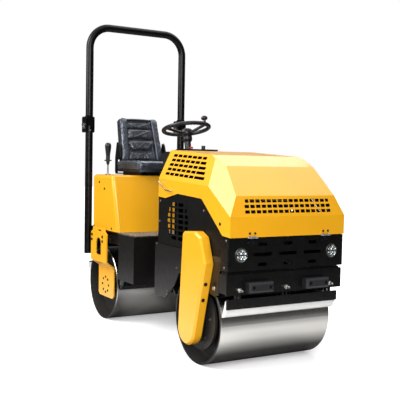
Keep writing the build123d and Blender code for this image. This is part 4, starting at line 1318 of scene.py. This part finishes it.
    def backrest(self) -> list[Object]:
        """Builds the backrest: its bolster, a top panel, two pads, a gathered foot and a shell.

        Returns:
            The pieces.
        """
        place = self.back_place()
        rear = 0.007 - self.back_depth
        made = [self.back_bolster(place, rear)]
        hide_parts("seat_back")
        gathers = [((0.03, 0.078), (side * reach, 0.014), 0.007, 0.004)
                   for side in SIDES for reach in (0.02, 0.06, 0.10)]
        rows = (                # name, foot, top, half width at the foot and top, cut, front, folds
            ("top_panel", 0.279, 0.335, 0.114, 0.106, 0.008, -0.018,
             [((0.100, 0.325), (0.004, 0.296), 0.007, 0.004),
              ((-0.09, 0.318), (-0.03, 0.290), 0.006, 0.003)]),
            ("upper_pad", 0.192, 0.273, 0.118, 0.112, 0.014, -0.008,
             [((0.110, 0.268), (-0.070, 0.196), 0.006, 0.0035),
              ((0.05, 0.262), (-0.10, 0.245), 0.006, 0.0025)]),
            ("lower_pad", 0.094, 0.176, 0.100, 0.118, 0.022, -0.008,
             [((0.054, 0.172), (-0.048, 0.097), 0.006, 0.0035),
              ((0.104, 0.168), (0.06, 0.120), 0.006, 0.003),
              ((-0.08, 0.160), (-0.03, 0.115), 0.006, 0.0025)]),
            ("foot_panel", 0.010, 0.082, 0.120, 0.112, 0.008, -0.022, gathers),
        )
        for name, foot, top, low, high, cut, front, folds in rows:
            outline = [(-low + cut, foot), (low - cut, foot), (low, foot + cut), (high, top - cut),
                       (high - cut, top), (-high + cut, top), (-high, top - cut), (-low, foot + cut)]
            slab = (outline, rear + 0.020, front)
            made.append(self.stuff(f"backrest_{name}", [slab], place, VINYL, folds))
        low, high = self.back_low - self.inset, self.back_high + 2 * self.inset
        outline = self.back_outline(low, high, 0.004, self.back_height + 0.002)
        made.append(self.shell("backrest_shell", outline, -self.back_depth, rear + 0.003, place,
                               (0.004, 3, 0.6)))
        return made

    def cushion(self) -> list[Object]:
        """Builds the cushion: bolsters at both sides and the front, three pads and a pan.

        Returns:
            The pieces.
        """
        place = self.cushion_place()
        low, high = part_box("seat_cushion")
        top = high.z - low.z
        edge, flat = high.y - 2 * self.inset, (high.x - low.x) / 2 - 2 * self.inset
        inner, foot = self.cushion_inner, self.cushion_foot
        slabs: list[Slab] = []
        for side in SIDES:
            near, far = sorted((side * inner, side * edge))
            slabs.append((cut_corners((near, -flat), (far, flat), 0.024), foot, top - 0.007))
        slabs.append((cut_corners((-edge, flat - 0.085), (edge, flat), 0.026), foot, top - 0.009))
        slabs.append((cut_corners((-edge, -flat), (edge, flat), 0.024), foot, 0.040))
        folds = [((side * 0.17, start), (side * 0.215, start + 0.04), 0.007, 0.003)
                 for side in SIDES for start in (-0.15, -0.06, 0.05, 0.12)]
        folds += [((start, flat - 0.07), (start + reach, flat - 0.012), 0.007, 0.003)
                  for start, reach in ((-0.13, 0.05), (-0.04, -0.03), (0.05, 0.04), (0.14, -0.04))]
        made = [self.stuff("cushion_bolster", slabs, place, VINYL_SIDE, folds)]
        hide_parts("seat_cushion")
        start, pitch = -flat + 0.006, (2 * flat - 0.095) / 3
        for number in range(3):
            outline = cut_corners((-inner + 0.005, start + 0.003),
                                  (inner - 0.005, start + pitch - 0.003), 0.016)
            middle = start + pitch * 0.5
            folds = [((0.11 - 0.05 * number, middle + 0.04), (-0.03, middle - 0.03), 0.007, 0.003)]
            slab = (outline, 0.044, top - 0.012)
            made.append(self.stuff(f"cushion_pad_{number + 1}", [slab], place, VINYL, folds))
            start += pitch
        edge, flat = edge - self.inset, flat - self.inset
        made.append(self.shell("cushion_pan", cut_corners((-edge, -flat), (edge, flat), 0.024),
                               0.0, 0.026, place, (0.005, 2, 0.0)))
        return made

    def build(self) -> list[Object]:
        """Builds the seat on its base."""
        BLACK_COAT.coat("seat_base")
        return self.backrest() + self.cushion()


# ---- rear end ------------------------------------------------------------------------------
@dataclass
class RearEnd:
    """Rear frame with its seat box, floor, arms, beam, buffers and scrapers."""

    lug: Point = (0.024, 0.007, 0.0016)         # length, width and height of the tread plate's lugs
    lug_root: float = 0.0005                    # how deep a lug goes into the plate
    lug_pitch: float = 0.029
    clamp_reach: Flat = (0.3840, 0.3915)        # from the middle to a clamp plate's inner and outer face
    clamp_plate: tuple[Flat, ...] = (           # x, z of a clamp plate's corners, seen from the right
        (-0.447, 0.300), (-0.392, 0.300), (-0.362, 0.352), (-0.362, 0.412), (-0.447, 0.412),
    )
    clamp_bolts: tuple[Flat, ...] = ((-0.418, 0.320), (-0.404, 0.344), (-0.380, 0.366))
    hub_circle: float = 0.060                   # radius of the circle of bolts in each arm
    hub_drop: float = 0.016                     # how far its middle lies below the drum's axle
    hub_bolts: int = 8

    def sheets(self) -> None:
        """Coats the sheet and plate work of the rear body."""
        BLACK_COAT.coat("rear_beam", "rear_scraper_bar", "rear_inner_scraper", "rear_hubs",
                        "pivot_boss")
        TUBE_COAT.coat("roll_bar_lower")
        PLATE_COAT.coat("rear_frame")
        AMBER_COAT.coat("seat_box", "rear_arms")
        RUBBER.coat("rear_buffers")
        NYLON.coat("rear_scraper_blade")
        TREAD.coat("floor_plate")
        ZINC.coat("roll_bar_pins")
        soften(1.5, "rear_frame", "rear_beam")
        soften(2.0, "rear_arms", "seat_box")

    def tread(self) -> Object:
        """Raises the lugs of the tread plate, each turned against the next.

        Returns:
            The lugs as one piece.
        """
        low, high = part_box("floor_plate")
        length, width, rise = self.lug
        half, flank, side = length / 2, length / 4, width / 2
        outline = [(-half, 0), (-flank, -side), (flank, -side), (half, 0), (flank, side),
                   (-flank, side)]
        bm = bmesh.new()
        columns = int((high.x - low.x) / self.lug_pitch)
        rows = int((high.y - low.y) / self.lug_pitch)
        for column in range(columns):
            for row in range(rows):
                x = low.x + (column + 0.5) * (high.x - low.x) / columns
                y = low.y + (row + 0.5) * (high.y - low.y) / rows
                turn = Matrix.Rotation(radians(45 if (column + row) % 2 else -45), 4, "Z")
                place = Matrix.Translation((x, y, high.z)) @ turn
                prism(bm, outline, -self.lug_root, rise, place)
        return piece("floor_tread", bm, TREAD, "rear")

    def clamps(self) -> list[Object]:
        """Adds the small bolted plates that hold both ends of the inner scraper.

        Returns:
            The plates, and their bolts.
        """
        plates, bolts = bmesh.new(), bmesh.new()
        right = Matrix(((1, 0, 0), (0, 0, -1), (0, 1, 0))).to_4x4()
        near, far = self.clamp_reach
        for side, (low, high) in zip(SIDES, ((near, far), (-far, -near))):
            prism(plates, self.clamp_plate, low, high, right)
            for x, z in self.clamp_bolts:
                M8_DOME.add(bolts, facing((x, side * far, z), (0, side, 0)))
        round_edges(plates, 0.001, 1)
        return [piece("scraper_clamps", plates, BLACK_COAT, "rear"),
                piece("clamp_bolts", bolts, DULL_ZINC, "rear", 25)]

    def bolts(self) -> list[Object]:
        """Adds the fasteners of the rear body.

        Returns:
            The fasteners.
        """
        low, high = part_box("rear_drum")
        middle = (low + high) / 2
        ring = circle((middle.x, middle.z - self.hub_drop), self.hub_circle, self.hub_bolts, pi / 2)
        return fasten("rear_bolts", "rear", [
            Row("seat_box", M8_BLACK, ACROSS,
                ((-0.792, 1.068), (-0.687, 1.019), (-0.545, 0.720), (-0.894, 0.716))),
            Row("rear_arms", M10_BLACK, ACROSS,
                ((-0.858, 0.651), (-0.858, 0.614), (-0.648, 0.649), (-0.648, 0.614))),
            Row("rear_arms", M8_BLACK, ACROSS, ring),
            Row("rear_beam", BEAM_STUD, FROM_BACK, ((0.330, 0.504),)),
            Row("rear_beam", BEAM_STUD, FROM_BACK, ((0.0, 0.504),), both=False),
            Row("rear_scraper_bar", M6_BLACK, FROM_BACK, ((0.11, 0.378), (0.31, 0.378))),
            Row("roll_bar_lower", M12_HEX, ACROSS, ((-1.048, 1.501),)),
            Row("roll_bar_lower", M8_DOME, FROM_FRONT, ((0.422, 1.477),)),
        ])

    def build(self) -> list[Object]:
        """Dresses the rear body and adds its small parts."""
        self.sheets()
        return [self.tread()] + self.clamps() + self.bolts()


# ---- roll bar and steering cylinder --------------------------------------------------------
@dataclass
class RollBar:
    """Folding roll bar and the steering cylinder between the frames."""

    def build(self) -> list[Object]:
        """Coats the bar and the cylinder, which need no small parts.

        Returns:
            An empty list.
        """
        TUBE_COAT.coat("roll_bar_upper")
        BLACK_COAT.coat("steering_barrel")
        CHROME.coat("steering_rod")
        return []


def main() -> None:
    """Sets up the studio, builds every part of the machine in order and reports each piece."""
    logging.basicConfig(level=logging.INFO, format="%(name)s: %(message)s")
    Studio().build()
    parts = (
        Drum("front_drum", 0.130, 8),
        Drum("rear_drum", 0.088, 30),
        FrontEnd(),
        Hood(),
        Controls(),
        RearEnd(),
        RollBar(),
        Seat(),
    )
    for part in parts:
        for made in part.build():
            LOG.info("%s: %s, %d faces", type(part).__name__, made.name, len(made.data.polygons))


if __name__ == "__main__":
    main()
